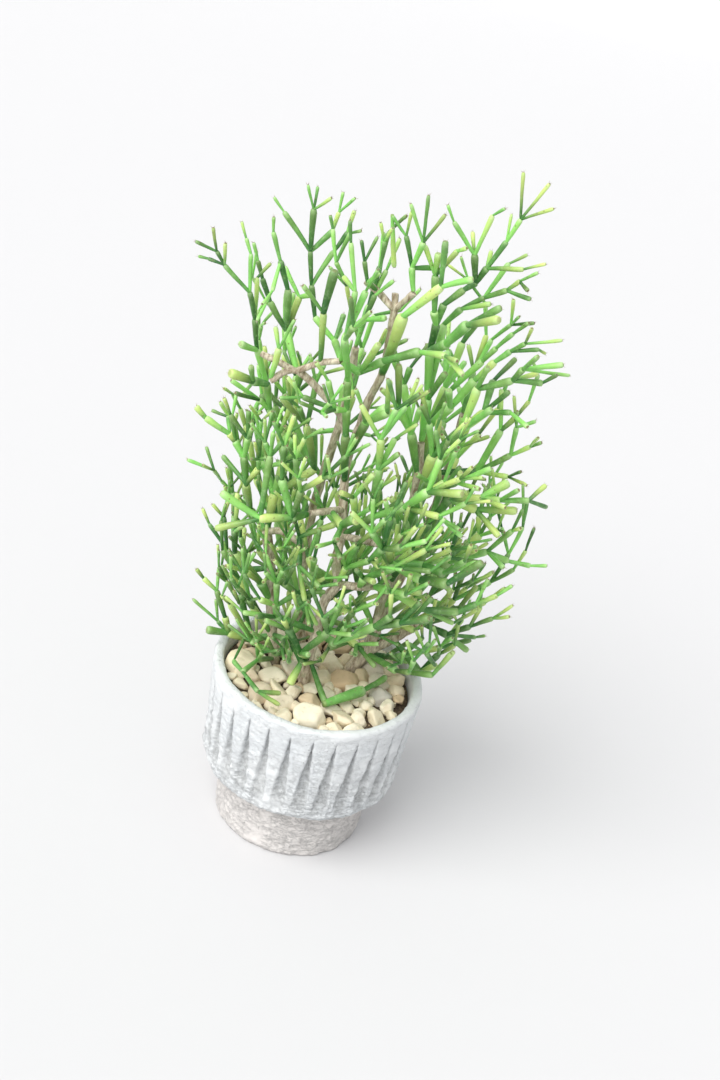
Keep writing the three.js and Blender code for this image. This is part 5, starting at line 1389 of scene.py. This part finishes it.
class CactusFillSettings(bpy.types.PropertyGroup):
    """Sizes and colours of the soil and the pebbles."""

    soil_top: plain_setting("Soil top", "Height of the soil between the pebbles, in mm", 78.6)
    tries: plain_setting("Throws", "Share of the pebbles' throws that are made", 1.0, min=0.0)
    roughness: length_setting("Roughness", "Height of the pebbles' relief", 0.0016)
    pebble_cream: colour_setting("Cream", "Palest pebbles", (0.88, 0.82, 0.66))
    pebble_beige: colour_setting("Beige", "Most pebbles", (0.80, 0.71, 0.52))
    pebble_tan: colour_setting("Tan", "Darker pebbles and clouds", (0.62, 0.46, 0.29))
    pebble_grey: colour_setting("Grey", "The few grey pebbles", (0.46, 0.45, 0.42))
    pebble_dark: colour_setting("Speckle", "Dark speckles in the stone", (0.34, 0.25, 0.16))
    soil_dark: colour_setting("Dark soil", "Shade of the soil", (0.030, 0.020, 0.012))
    soil_light: colour_setting("Light soil", "Crumbs of the soil", (0.16, 0.11, 0.07))


class CactusPlantSettings(bpy.types.PropertyGroup):
    """Sizes and colours of the plant."""

    sides: count_setting("Sides", "Faces round one stem segment", 9)
    wander: length_setting("Wander", "How far the segments stray from straight", 0.0009)
    bristle_length: length_setting("Bristle length", "Length of a tip's bristles", 0.0013)
    # Dark green is the dark end of the random tone and also the painted shade of the low segments.
    dark_green_and_shade: colour_setting("Dark green", "Old segments", (0.020, 0.130, 0.020))
    mid_green: colour_setting("Mid green", "Most segments", (0.28, 0.71, 0.15))
    young_green: colour_setting("Young green", "Young segments", (0.68, 0.82, 0.24))
    pale_end: colour_setting("Pale end", "Blunt ends and pale mottling", (0.58, 0.80, 0.40))
    neck_brown: colour_setting("Neck", "Corky necks", (0.30, 0.24, 0.12))
    areole_brown: colour_setting("Areoles", "Dots on the skin", (0.22, 0.16, 0.07))
    bristle_white: colour_setting("Bristles", "Pale bristles", (0.80, 0.76, 0.62))
    bark_dark: colour_setting("Dark bark", "Furrows of the bark", (0.25, 0.175, 0.11))
    bark_pale: colour_setting("Pale bark", "Ridges of the bark", (0.78, 0.69, 0.55))
    bark_green: colour_setting("Green bark", "Green left on old stems", (0.26, 0.33, 0.15))


class CactusStageSettings(bpy.types.PropertyGroup):
    """Floor, light and camera."""

    lens: plain_setting("Lens", "Focal length", 46.67, subtype="DISTANCE_CAMERA")
    sky: plain_setting("Fill light", "Strength of the light all round", 0.74)
    key: plain_setting("Window light", "Strength of the soft main light", 3.0)
    softness: plain_setting("Softness", "Width of the window, in degrees", 50.0)
    paper: colour_setting("Paper", "Colour of the floor and backdrop", (0.65, 0.65, 0.66))


# The cup's wall, between its rounded lower edge and the rounded rim.
WALL_LOW = CUP_BOTTOM + 2.2
WALL_HIGH = POT_HEIGHT - 2.0

# How strong the cement's wrinkles are: on the rim, on the wall from its top to its foot, and elsewhere.
RIM_WRINKLES = 0.35
WALL_WRINKLES = (0.35, 0.85)
FOOT_WRINKLES = 0.75

# Flutes: the parts of the way down where one is deepest and widest, half the width of its point in mm, and
# the points across a flute or a panel.
FLUTE_DEEPEST = 0.35
FLUTE_WIDEST = 0.88
FLUTE_POINT = 0.30
FLUTE_COLUMNS = 8


class Flutes:
    """The cup's upright grooves: each opens downwards from a point, and is deepest in its upper half."""

    def __init__(self, settings):
        self.settings = settings
        self.pitch = 2 * math.pi / settings.flutes

    def way_down(self, height):
        """0 at the flutes' upper ends and 1 at their lower ends."""
        top, foot = self.settings.flute_top, self.settings.flute_foot
        return (top - height) / (top - foot)

    def half_width(self, height):
        """Half a flute's width here, in mm."""
        part = self.way_down(height)
        share = part / FLUTE_WIDEST if part < FLUTE_WIDEST else 1 - 2 * (part - FLUTE_WIDEST)
        return max(FLUTE_POINT, self.settings.flute_width * share) if 0 < part < 1 else FLUTE_POINT

    def depth_share(self, height):
        """A flute's depth here, as a share of its greatest."""
        part = self.way_down(height)
        if not 0 < part < 1:
            return 0.0
        if part < FLUTE_DEEPEST:
            return math.sin(part / FLUTE_DEEPEST * math.pi / 2)**0.7
        return 1 - ((part - FLUTE_DEEPEST) / (1 - FLUTE_DEEPEST))**2.2

    def columns(self, height):
        """The angles of one row of points, as many in each flute as in each panel."""
        half = self.half_width(height) / RIM_RADIUS
        panel = self.pitch - 2 * half
        angles = []
        for flute in range(self.settings.flutes):
            middle = flute * self.pitch
            angles += [middle + half * (2 * k / FLUTE_COLUMNS - 1) for k in range(FLUTE_COLUMNS)]
            angles += [middle + half + panel * k / FLUTE_COLUMNS for k in range(FLUTE_COLUMNS)]
        return angles

    def across(self, index):
        """0 in the middle of a flute, 1 at its edges and on the panels, for a point of a row."""
        column = index % (2 * FLUTE_COLUMNS)
        return abs(2 * column / FLUTE_COLUMNS - 1) if column <= FLUTE_COLUMNS else 1.0


def pot_profile(foot):
    """The pot's outline in two parts: from the axis under the foot to the rim, and down the inside."""
    edge = RIM_RADIUS - LIP_WIDTH
    outside = [
        (0, 0.8), *steps((12, 0.8), (foot - 5, 0.8), 4), *steps((foot - 4, 0.2), (foot - 2, 0), 3),
        (foot - 0.9, 0.3), (foot - 0.2, 1.1), *steps((foot, 2.2), (foot, CUP_BOTTOM - 1.5), 34),
        (foot + 0.3, CUP_BOTTOM - 0.7), (foot + 1.4, CUP_BOTTOM - 0.2),
        *steps((foot + 3, CUP_BOTTOM), (CUP_BOTTOM_RADIUS - 3, CUP_BOTTOM), 6),
        (CUP_BOTTOM_RADIUS - 1.8, CUP_BOTTOM + 0.35), (CUP_BOTTOM_RADIUS - 0.7, CUP_BOTTOM + 1.1),
        *steps((pot_wall(WALL_LOW), WALL_LOW), (pot_wall(WALL_HIGH), WALL_HIGH), 70),
        (RIM_RADIUS - 0.15, WALL_HIGH + 0.2), (RIM_RADIUS - 0.3, WALL_HIGH + 0.9),
        (RIM_RADIUS - 0.8, WALL_HIGH + 1.5),
        *steps((RIM_RADIUS - 1.5, POT_HEIGHT - 0.15), (edge + 1.5, POT_HEIGHT), 3),
        (edge + 0.9, POT_HEIGHT - 0.3), (edge + 0.3, POT_HEIGHT - 0.9), (edge, POT_HEIGHT - 1.9)]
    inside = [(edge - 0.5 * k / 6, POT_HEIGHT - 2.5 - k) for k in range(8)]
    inside += [(42, 39), (30, 28), (29, 12), (24, 8), (0, 8)]
    return outside, inside


class CACTUS_OT_pot(bpy.types.Operator):
    """Casts the fluted cement pot on its foot"""

    bl_idname = "cactus.pot"
    bl_label = "Pot"

    def execute(self, context):
        settings = context.scene.cactus_pot
        flutes = Flutes(settings)
        outside, inside = pot_profile(settings.foot_radius)
        obj, rows = lathe("pot", outside + inside, flutes.columns)
        points = obj.data.vertices
        hollow = np.zeros(len(points))
        rough = np.zeros(len(points))
        low = np.zeros(len(points))
        for (_, height), row in zip(outside + inside, rows):
            low[row] = 1.0 if height < CUP_BOTTOM + 1 else 0.0
        for (radius, height), row in zip(outside, rows):
            on_wall = WALL_LOW <= height <= WALL_HIGH and radius > settings.foot_radius + 5
            if not on_wall:
                rough[row] = RIM_WRINKLES if height > WALL_HIGH else FOOT_WRINKLES
                continue
            upper, lower = WALL_WRINKLES
            rough[row] = upper + (lower - upper) * min(1.0, max(0.0, flutes.way_down(height)))**1.5
            share = flutes.depth_share(height)
            for index, vertex in enumerate(row):
                across = flutes.across(index)
                inward = 1 - settings.flute_depth * share * (1 - across**2.8) / radius
                points[vertex].co.x *= inward
                points[vertex].co.y *= inward
                # hollow sets the grey in the flutes, as stain and painted shade, by how deep the flute is.
                hollow[vertex] = min(1.0, share * 2.2) * (1 - across**5)
        for name, values in {"hollow": hollow, "rough": rough, "low": low}.items():
            store(obj, name, "FLOAT", values)
        run_tree(obj, cast_tree(cement(settings)), Wrinkles=settings.wrinkles)
        settle(obj, "cement", "pot")
        return {"FINISHED"}


def soil_profile(top):
    """The soil's outline, from the axis round the pot's inside to the middle of its top."""
    side = RIM_RADIUS - LIP_WIDTH - 0.8
    return [(0, 8.3), (24, 8.3), (28.5, 12.5), (29.5, 27.8), (41.5, 39), (side, top - 1),
            *steps((side - 0.3, top), (2, top), 46), (0, top)]


class CACTUS_OT_soil(bpy.types.Operator):
    """Fills the pot with potting mix"""

    bl_idname = "cactus.soil"
    bl_label = "Soil"

    def execute(self, context):
        settings = context.scene.cactus_fill
        top = settings.soil_top
        turns = [2 * math.pi * k / 180 for k in range(180)]
        obj, rows = lathe("potting_mix", soil_profile(top), lambda height: turns)
        loose = [1.0 if v.co.z > (top - 0.5) * MM else 0.0 for v in obj.data.vertices]
        store(obj, "loose", "FLOAT", loose)
        run_tree(obj, crumb_tree(potting_mix(settings)))
        settle(obj, "soil", "soil")
        return {"FINISHED"}


# Rounds of pebbles: size, throws and spacing. The solid bed has the first four.
PEBBLE_ROUNDS = ((15, 40, 0.8), (12.5, 40, 0.8), (10, 40, 0.8), (8, 40, 0.8),
                 (11, 200, 0.72), (9, 200, 0.70), (7.5, 300, 0.68), (6, 300, 0.68), (4.5, 300, 0.7))
PEBBLE_SPREAD = (0.88, 1.12)
PEBBLE_SINK = (-0.1, 0.25)
PEBBLE_CLEARANCE = 0.8
PEBBLE_SEED = 77
STONE_KINDS = 7
STONE_PLANES = 15
STONE_CUTS = (0.62, 1.0)
STONE_REACH = 1.15
STONE_SHARPNESS = 26.0
STONE_TURNS = ((-0.7, 0.7), (-0.7, 0.7), (0, 2 * math.pi))
STONE_SIZES = ((1.0, 1.18), (0.75, 1.0), (0.62, 0.85))


def pebble_spots(share):
    """Middles and radii of the pebbles: those of the solid bed, then closer and smaller ones."""
    draw = Draw(PEBBLE_SEED)
    spots = []
    low = [s for s in SEGMENTS if min(s["start"][2], s["end"][2]) < POT_HEIGHT + 12]
    starts = np.array([s["start"] for s in low])
    ways = np.array([s["end"] - s["start"] for s in low])
    thick = np.array([s["radius"] for s in low])
    lengths2 = (ways * ways).sum(1)
    for size, tries, spacing in PEBBLE_ROUNDS:
        for _ in range(round(tries * share)):
            radius = 0.5 * size * draw.within(*PEBBLE_SPREAD)
            out = (RIM_RADIUS - LIP_WIDTH - 1 - radius) * math.sqrt(draw.next())
            turn = draw.within(0, 2 * math.pi)
            middle = np.array([out * math.cos(turn), out * math.sin(turn), GRAVEL_TOP])
            middle[2] += radius * draw.within(*PEBBLE_SINK)
            if any(np.linalg.norm(spot - middle) <= spacing * (reach + radius) for spot, reach in spots):
                continue
            part = np.clip(((middle - starts) * ways).sum(1) / lengths2, 0, 1)
            closest = starts + ways * part[:, None]
            if (np.linalg.norm(closest - middle, axis=1) <= PEBBLE_CLEARANCE * radius + thick).any():
                continue
            spots.append((middle, radius))
    return spots


def stone_mesh(name, draw):
    """One broken stone of radius 1: a ball cut by flat planes whose edges are worn round."""
    ball = bmesh.new()
    bmesh.ops.create_icosphere(ball, subdivisions=4, radius=1.0)
    planes = []
    for _ in range(STONE_PLANES):
        height = draw.within(-1, 1)
        turn = draw.within(0, 2 * math.pi)
        flat = math.sqrt(1 - height * height)
        normal = Vector((flat * math.cos(turn), flat * math.sin(turn), height))
        planes.append((normal, draw.within(*STONE_CUTS)))
    for vertex in ball.verts:
        way = vertex.co.normalized()
        total = STONE_REACH**-STONE_SHARPNESS
        for normal, away in planes:
            facing = way.dot(normal)
            if facing > 0.05:
                total += (away / facing) ** -STONE_SHARPNESS
        vertex.co = way * total ** (-1 / STONE_SHARPNESS)
    mesh = bpy.data.meshes.new(name)
    ball.to_mesh(mesh)
    ball.free()
    return mesh


class CACTUS_OT_pebbles(bpy.types.Operator):
    """Strews pebbles on the soil"""

    bl_idname = "cactus.pebbles"
    bl_label = "Pebbles"

    def execute(self, context):
        settings = context.scene.cactus_fill
        draw = Draw(PEBBLE_SEED + 1)
        stones = bpy.data.collections.new("stone kinds")
        for kind in range(STONE_KINDS):
            obj = bpy.data.objects.new(f"stone_{kind}", stone_mesh(f"stone_{kind}", draw))
            stones.objects.link(obj)
        spots = pebble_spots(settings.tries)
        obj = mesh_object("pebbles", [middle * MM for middle, _ in spots])
        store(obj, "kind", "INT", [int(draw.next() * STONE_KINDS) for _ in spots])
        turns = [[draw.within(low, high) for low, high in STONE_TURNS] for _ in spots]
        sizes = [[radius * MM * draw.within(low, high) for low, high in STONE_SIZES] for _, radius in spots]
        store(obj, "turn", "FLOAT_VECTOR", turns)
        store(obj, "size", "FLOAT_VECTOR", sizes)
        store(obj, "tone", "FLOAT", [draw.next() for _ in spots])
        run_tree(obj, pebble_tree(stone(settings), stones), Roughness=settings.roughness)
        for template in list(stones.objects):
            bpy.data.objects.remove(template)
        bpy.data.collections.remove(stones)
        settle(obj, "pebbles", "gravel")
        return {"FINISHED"}


class CACTUS_OT_wood(bpy.types.Operator):
    """Sweeps the woody stems"""

    bl_idname = "cactus.wood"
    bl_label = "Woody stems"

    def execute(self, context):
        tree = bark_tree(bark(context.scene.cactus_plant))
        wood = [s for s in SEGMENTS if s["wooden"]]
        for node in dict.fromkeys(s["node"] for s in wood):
            spots, edges, girths = [], [], []
            last_limb = None
            for segment in [s for s in wood if s["node"] == node]:
                if segment["limb"] != last_limb:
                    spots.append(segment["start"] * MM)
                    girths.append(segment["radius"] * MM)
                    last_limb = segment["limb"]
                edges.append((len(spots) - 1, len(spots)))
                spots.append(segment["end"] * MM)
                girths.append(segment["radius"] * MM)
            obj = mesh_object(f"bark_{node}", spots, edges)
            store(obj, "girth", "FLOAT", girths)
            run_tree(obj, tree)
            settle(obj, "bark", node)
        return {"FINISHED"}


# Tints: how likely a segment is to be young, and how much more so at a tip, low in the crown and at the
# right, how young it then is or else may be, and how much painted shade darkens the lowest segments.
TINT_SEED = 515
YOUNG_CHANCE = 0.14
YOUNG_AT_TIP = 0.18
YOUNG_LOW = 0.12
YOUNG_AT_RIGHT = 0.14
LOW_HEIGHT = 215
RIGHT_START = 10
YOUNG_TINT = (0.45, 0.95)
OLD_TINT = (0, 0.22)
LOW_SHADE = 0.55
SHADE_START = 90
SHADE_RISE = 130

# Segments start this far inside their seat and end this far past their joint, as shares of their radius.
SEAT_DEPTH = 0.45
TIP_OVERLAP = 0.3


def tints(green):
    """How light and how young each green segment is, from a seeded draw; the lightness carries painted shade
    on the low segments.
    """
    draw = Draw(TINT_SEED)
    found = []
    for segment in green:
        ends = segment["last"] not in HAS_KIDS
        low = segment["end"][2] < LOW_HEIGHT
        right = segment["end"][0] > RIGHT_START
        chance = YOUNG_CHANCE + YOUNG_AT_TIP * ends + YOUNG_LOW * low + YOUNG_AT_RIGHT * right
        young = draw.within(*(YOUNG_TINT if draw.next() < chance else OLD_TINT))
        # Painted shade: the lower a segment ends, the darker its tone.
        risen = (segment["end"][2] - SHADE_START) / SHADE_RISE
        shade = min(1.0, LOW_SHADE + (1 - LOW_SHADE) * risen)
        found.append((draw.next() * shade, young))
    return found


def tip_brown(segment):
    """How brown the tip is: thin last segments have a corky tip, and thick ones only a trace of it."""
    if segment["last"] in HAS_KIDS:
        return 0.25
    return 0.9 if segment["radius"] < 1.2 else 0.4


class CACTUS_OT_sprays(bpy.types.Operator):
    """Grows the green sprays of stem segments"""

    bl_idname = "cactus.sprays"
    bl_label = "Green sprays"

    def execute(self, context):
        settings = context.scene.cactus_plant
        tree = segment_tree(green_skin(settings))
        green = [s for s in SEGMENTS if not s["wooden"]]
        tinted = list(zip(green, tints(green)))
        for node in dict.fromkeys(s["node"] for s in green):
            mine = [(s, tint) for s, tint in tinted if s["node"] == node]
            spots, ways, reaches = [], [], []
            for segment, _ in mine:
                way = unit(segment["end"] - segment["start"])
                length = float(np.linalg.norm(segment["end"] - segment["start"]))
                root = segment["lift"] - 1 if segment["lift"] else -SEAT_DEPTH * segment["radius"]
                spots.append((segment["start"] + way * root) * MM)
                ways.append(way)
                reaches.append((length - root + TIP_OVERLAP * segment["radius"]) * MM)
            obj = mesh_object(f"spray_{node}", spots)
            store(obj, "way", "FLOAT_VECTOR", ways)
            store(obj, "reach", "FLOAT", reaches)
            store(obj, "girth", "FLOAT", [s["radius"] * MM for s, _ in mine])
            # tone is a random lightness with painted shade on the low segments.
            store(obj, "tone", "FLOAT", [tint[0] for _, tint in mine])
            store(obj, "young", "FLOAT", [tint[1] for _, tint in mine])
            store(obj, "tipped", "FLOAT", [tip_brown(s) for s, _ in mine])
            run_tree(obj, tree, Sides=settings.sides, Wander=settings.wander)
            settle(obj, "stem_green", node)
        return {"FINISHED"}


# Bristles: how many on a tip, how far they lean out, how long they are, and how far up and out they sit, as
# shares of the tip's radius.
BRISTLE_SEED = 99
BRISTLES = 5
BRISTLE_LEAN = (0.25, 1.0)
BRISTLE_REACH = (0.6, 1.2)
BRISTLE_UP = 0.15
BRISTLE_OUT = 0.45


class CACTUS_OT_bristles(bpy.types.Operator):
    """Sets small tufts of bristles on the tips"""

    bl_idname = "cactus.bristles"
    bl_label = "Tip bristles"

    def execute(self, context):
        settings = context.scene.cactus_plant
        draw = Draw(BRISTLE_SEED)
        spots, ways, reaches = [], [], []
        for segment in SEGMENTS:
            if segment["wooden"] or segment["last"] in HAS_KIDS:
                continue
            way = unit(segment["end"] - segment["start"])
            side = unit(np.cross(way, ASIDE))
            other = np.cross(way, side)
            for _ in range(BRISTLES):
                turn = draw.within(0, 2 * math.pi)
                lean = draw.within(*BRISTLE_LEAN)
                out = side * math.cos(turn) + other * math.sin(turn)
                radius = segment["radius"]
                spots.append((segment["end"] + way * radius * BRISTLE_UP + out * radius * BRISTLE_OUT) * MM)
                ways.append(unit(way + out * lean))
                reaches.append(draw.within(*BRISTLE_REACH))
        obj = mesh_object("tip_bristles", spots)
        store(obj, "way", "FLOAT_VECTOR", ways)
        store(obj, "reach", "FLOAT", reaches)
        run_tree(obj, bristle_tree(bristle_skin(settings)), Length=settings.bristle_length)
        settle(obj, "stem_green")
        return {"FINISHED"}


# The eye that the plant's joints are given from, in metres, and its right and up.
EYE = Vector((0, -0.54067, 0.46546))
EYE_RIGHT = Vector((0.97303, 0.10806, 0.20379))
EYE_UPWARD = Vector((-0.23056, 0.48257, 0.84497))

# The way that the light comes, from the upper left in front.
WINDOW_WAY = (0.55, 0.62, -0.95)


class CACTUS_OT_stage(bpy.types.Operator):
    """Lays the pale floor, sets the soft light and places the camera"""

    bl_idname = "cactus.stage"
    bl_label = "Stage"

    def execute(self, context):
        settings = context.scene.cactus_stage
        paper = studio_paper(settings)
        wide, deep, tall, bend = 5.0, 3.5, 3.0, 0.8
        turns = [step * math.pi / 32 for step in range(1, 17)]
        line = [(-deep, 0.0), (deep - bend, 0.0)]
        line += [(deep - bend + bend * math.sin(turn), bend - bend * math.cos(turn)) for turn in turns]
        line += [(deep, tall)]
        vertices = [(side * wide, y, z) for y, z in line for side in (-1, 1)]
        faces = [(2 * k, 2 * k + 1, 2 * k + 3, 2 * k + 2) for k in range(len(line) - 1)]
        floor = mesh_object("studio_floor", vertices, faces=faces)
        for face in floor.data.polygons:
            face.use_smooth = True
        floor.data.materials.append(paper)

        world = bpy.data.worlds.new("soft_room")
        world.use_nodes = True
        ground = world.node_tree.nodes["Background"]
        ground.inputs["Color"].default_value = (0.98, 0.99, 1.0, 1)
        ground.inputs["Strength"].default_value = settings.sky
        context.scene.world = world
        context.scene.view_settings.view_transform = "Standard"
        data = bpy.data.lights.new("window", "SUN")
        data.angle = math.radians(settings.softness)
        data.energy = settings.key
        data.color = (1.0, 0.99, 0.97)
        window = bpy.data.objects.new("window", data)
        window.rotation_euler = Vector(WINDOW_WAY).to_track_quat("-Z", "Y").to_euler()
        context.scene.collection.objects.link(window)

        data = bpy.data.cameras.new("eye")
        data.lens = settings.lens
        data.sensor_width = 36
        data.clip_start = 0.01
        camera = bpy.data.objects.new("eye", data)
        back = EYE_RIGHT.cross(EYE_UPWARD)
        turn = Matrix((EYE_RIGHT, EYE_UPWARD, back)).transposed().to_4x4()
        camera.matrix_world = Matrix.Translation(EYE) @ turn
        context.scene.collection.objects.link(camera)
        context.scene.camera = camera
        return {"FINISHED"}


PIECES = (CACTUS_OT_pot, CACTUS_OT_soil, CACTUS_OT_pebbles, CACTUS_OT_wood, CACTUS_OT_sprays,
          CACTUS_OT_bristles, CACTUS_OT_stage)


class CACTUS_PT_panel(bpy.types.Panel):
    """Buttons for the pieces and the stage"""

    bl_idname = "CACTUS_PT_panel"
    bl_label = "Potted Cactus"
    bl_space_type = "VIEW_3D"
    bl_region_type = "UI"
    bl_category = "Cactus"

    def draw(self, context):
        for piece in PIECES:
            self.layout.operator(piece.bl_idname)


SETTINGS = {
    "cactus_pot": CactusPotSettings, "cactus_fill": CactusFillSettings,
    "cactus_plant": CactusPlantSettings, "cactus_stage": CactusStageSettings,
}


def register():
    """Adds the classes and the scene's settings."""
    for group in (*SETTINGS.values(), *PIECES, CACTUS_PT_panel):
        bpy.utils.register_class(group)
    for name, group in SETTINGS.items():
        setattr(bpy.types.Scene, name, bpy.props.PointerProperty(type=group))


def unregister():
    """Takes them away again."""
    for name in SETTINGS:
        delattr(bpy.types.Scene, name)
    for group in (CACTUS_PT_panel, *reversed(PIECES), *reversed(SETTINGS.values())):
        bpy.utils.unregister_class(group)


def main():
    """Makes every piece and the stage."""
    register()
    bpy.ops.cactus.pot()
    bpy.ops.cactus.soil()
    bpy.ops.cactus.pebbles()
    bpy.ops.cactus.wood()
    bpy.ops.cactus.sprays()
    bpy.ops.cactus.bristles()
    bpy.ops.cactus.stage()


if __name__ == "__main__":
    main()
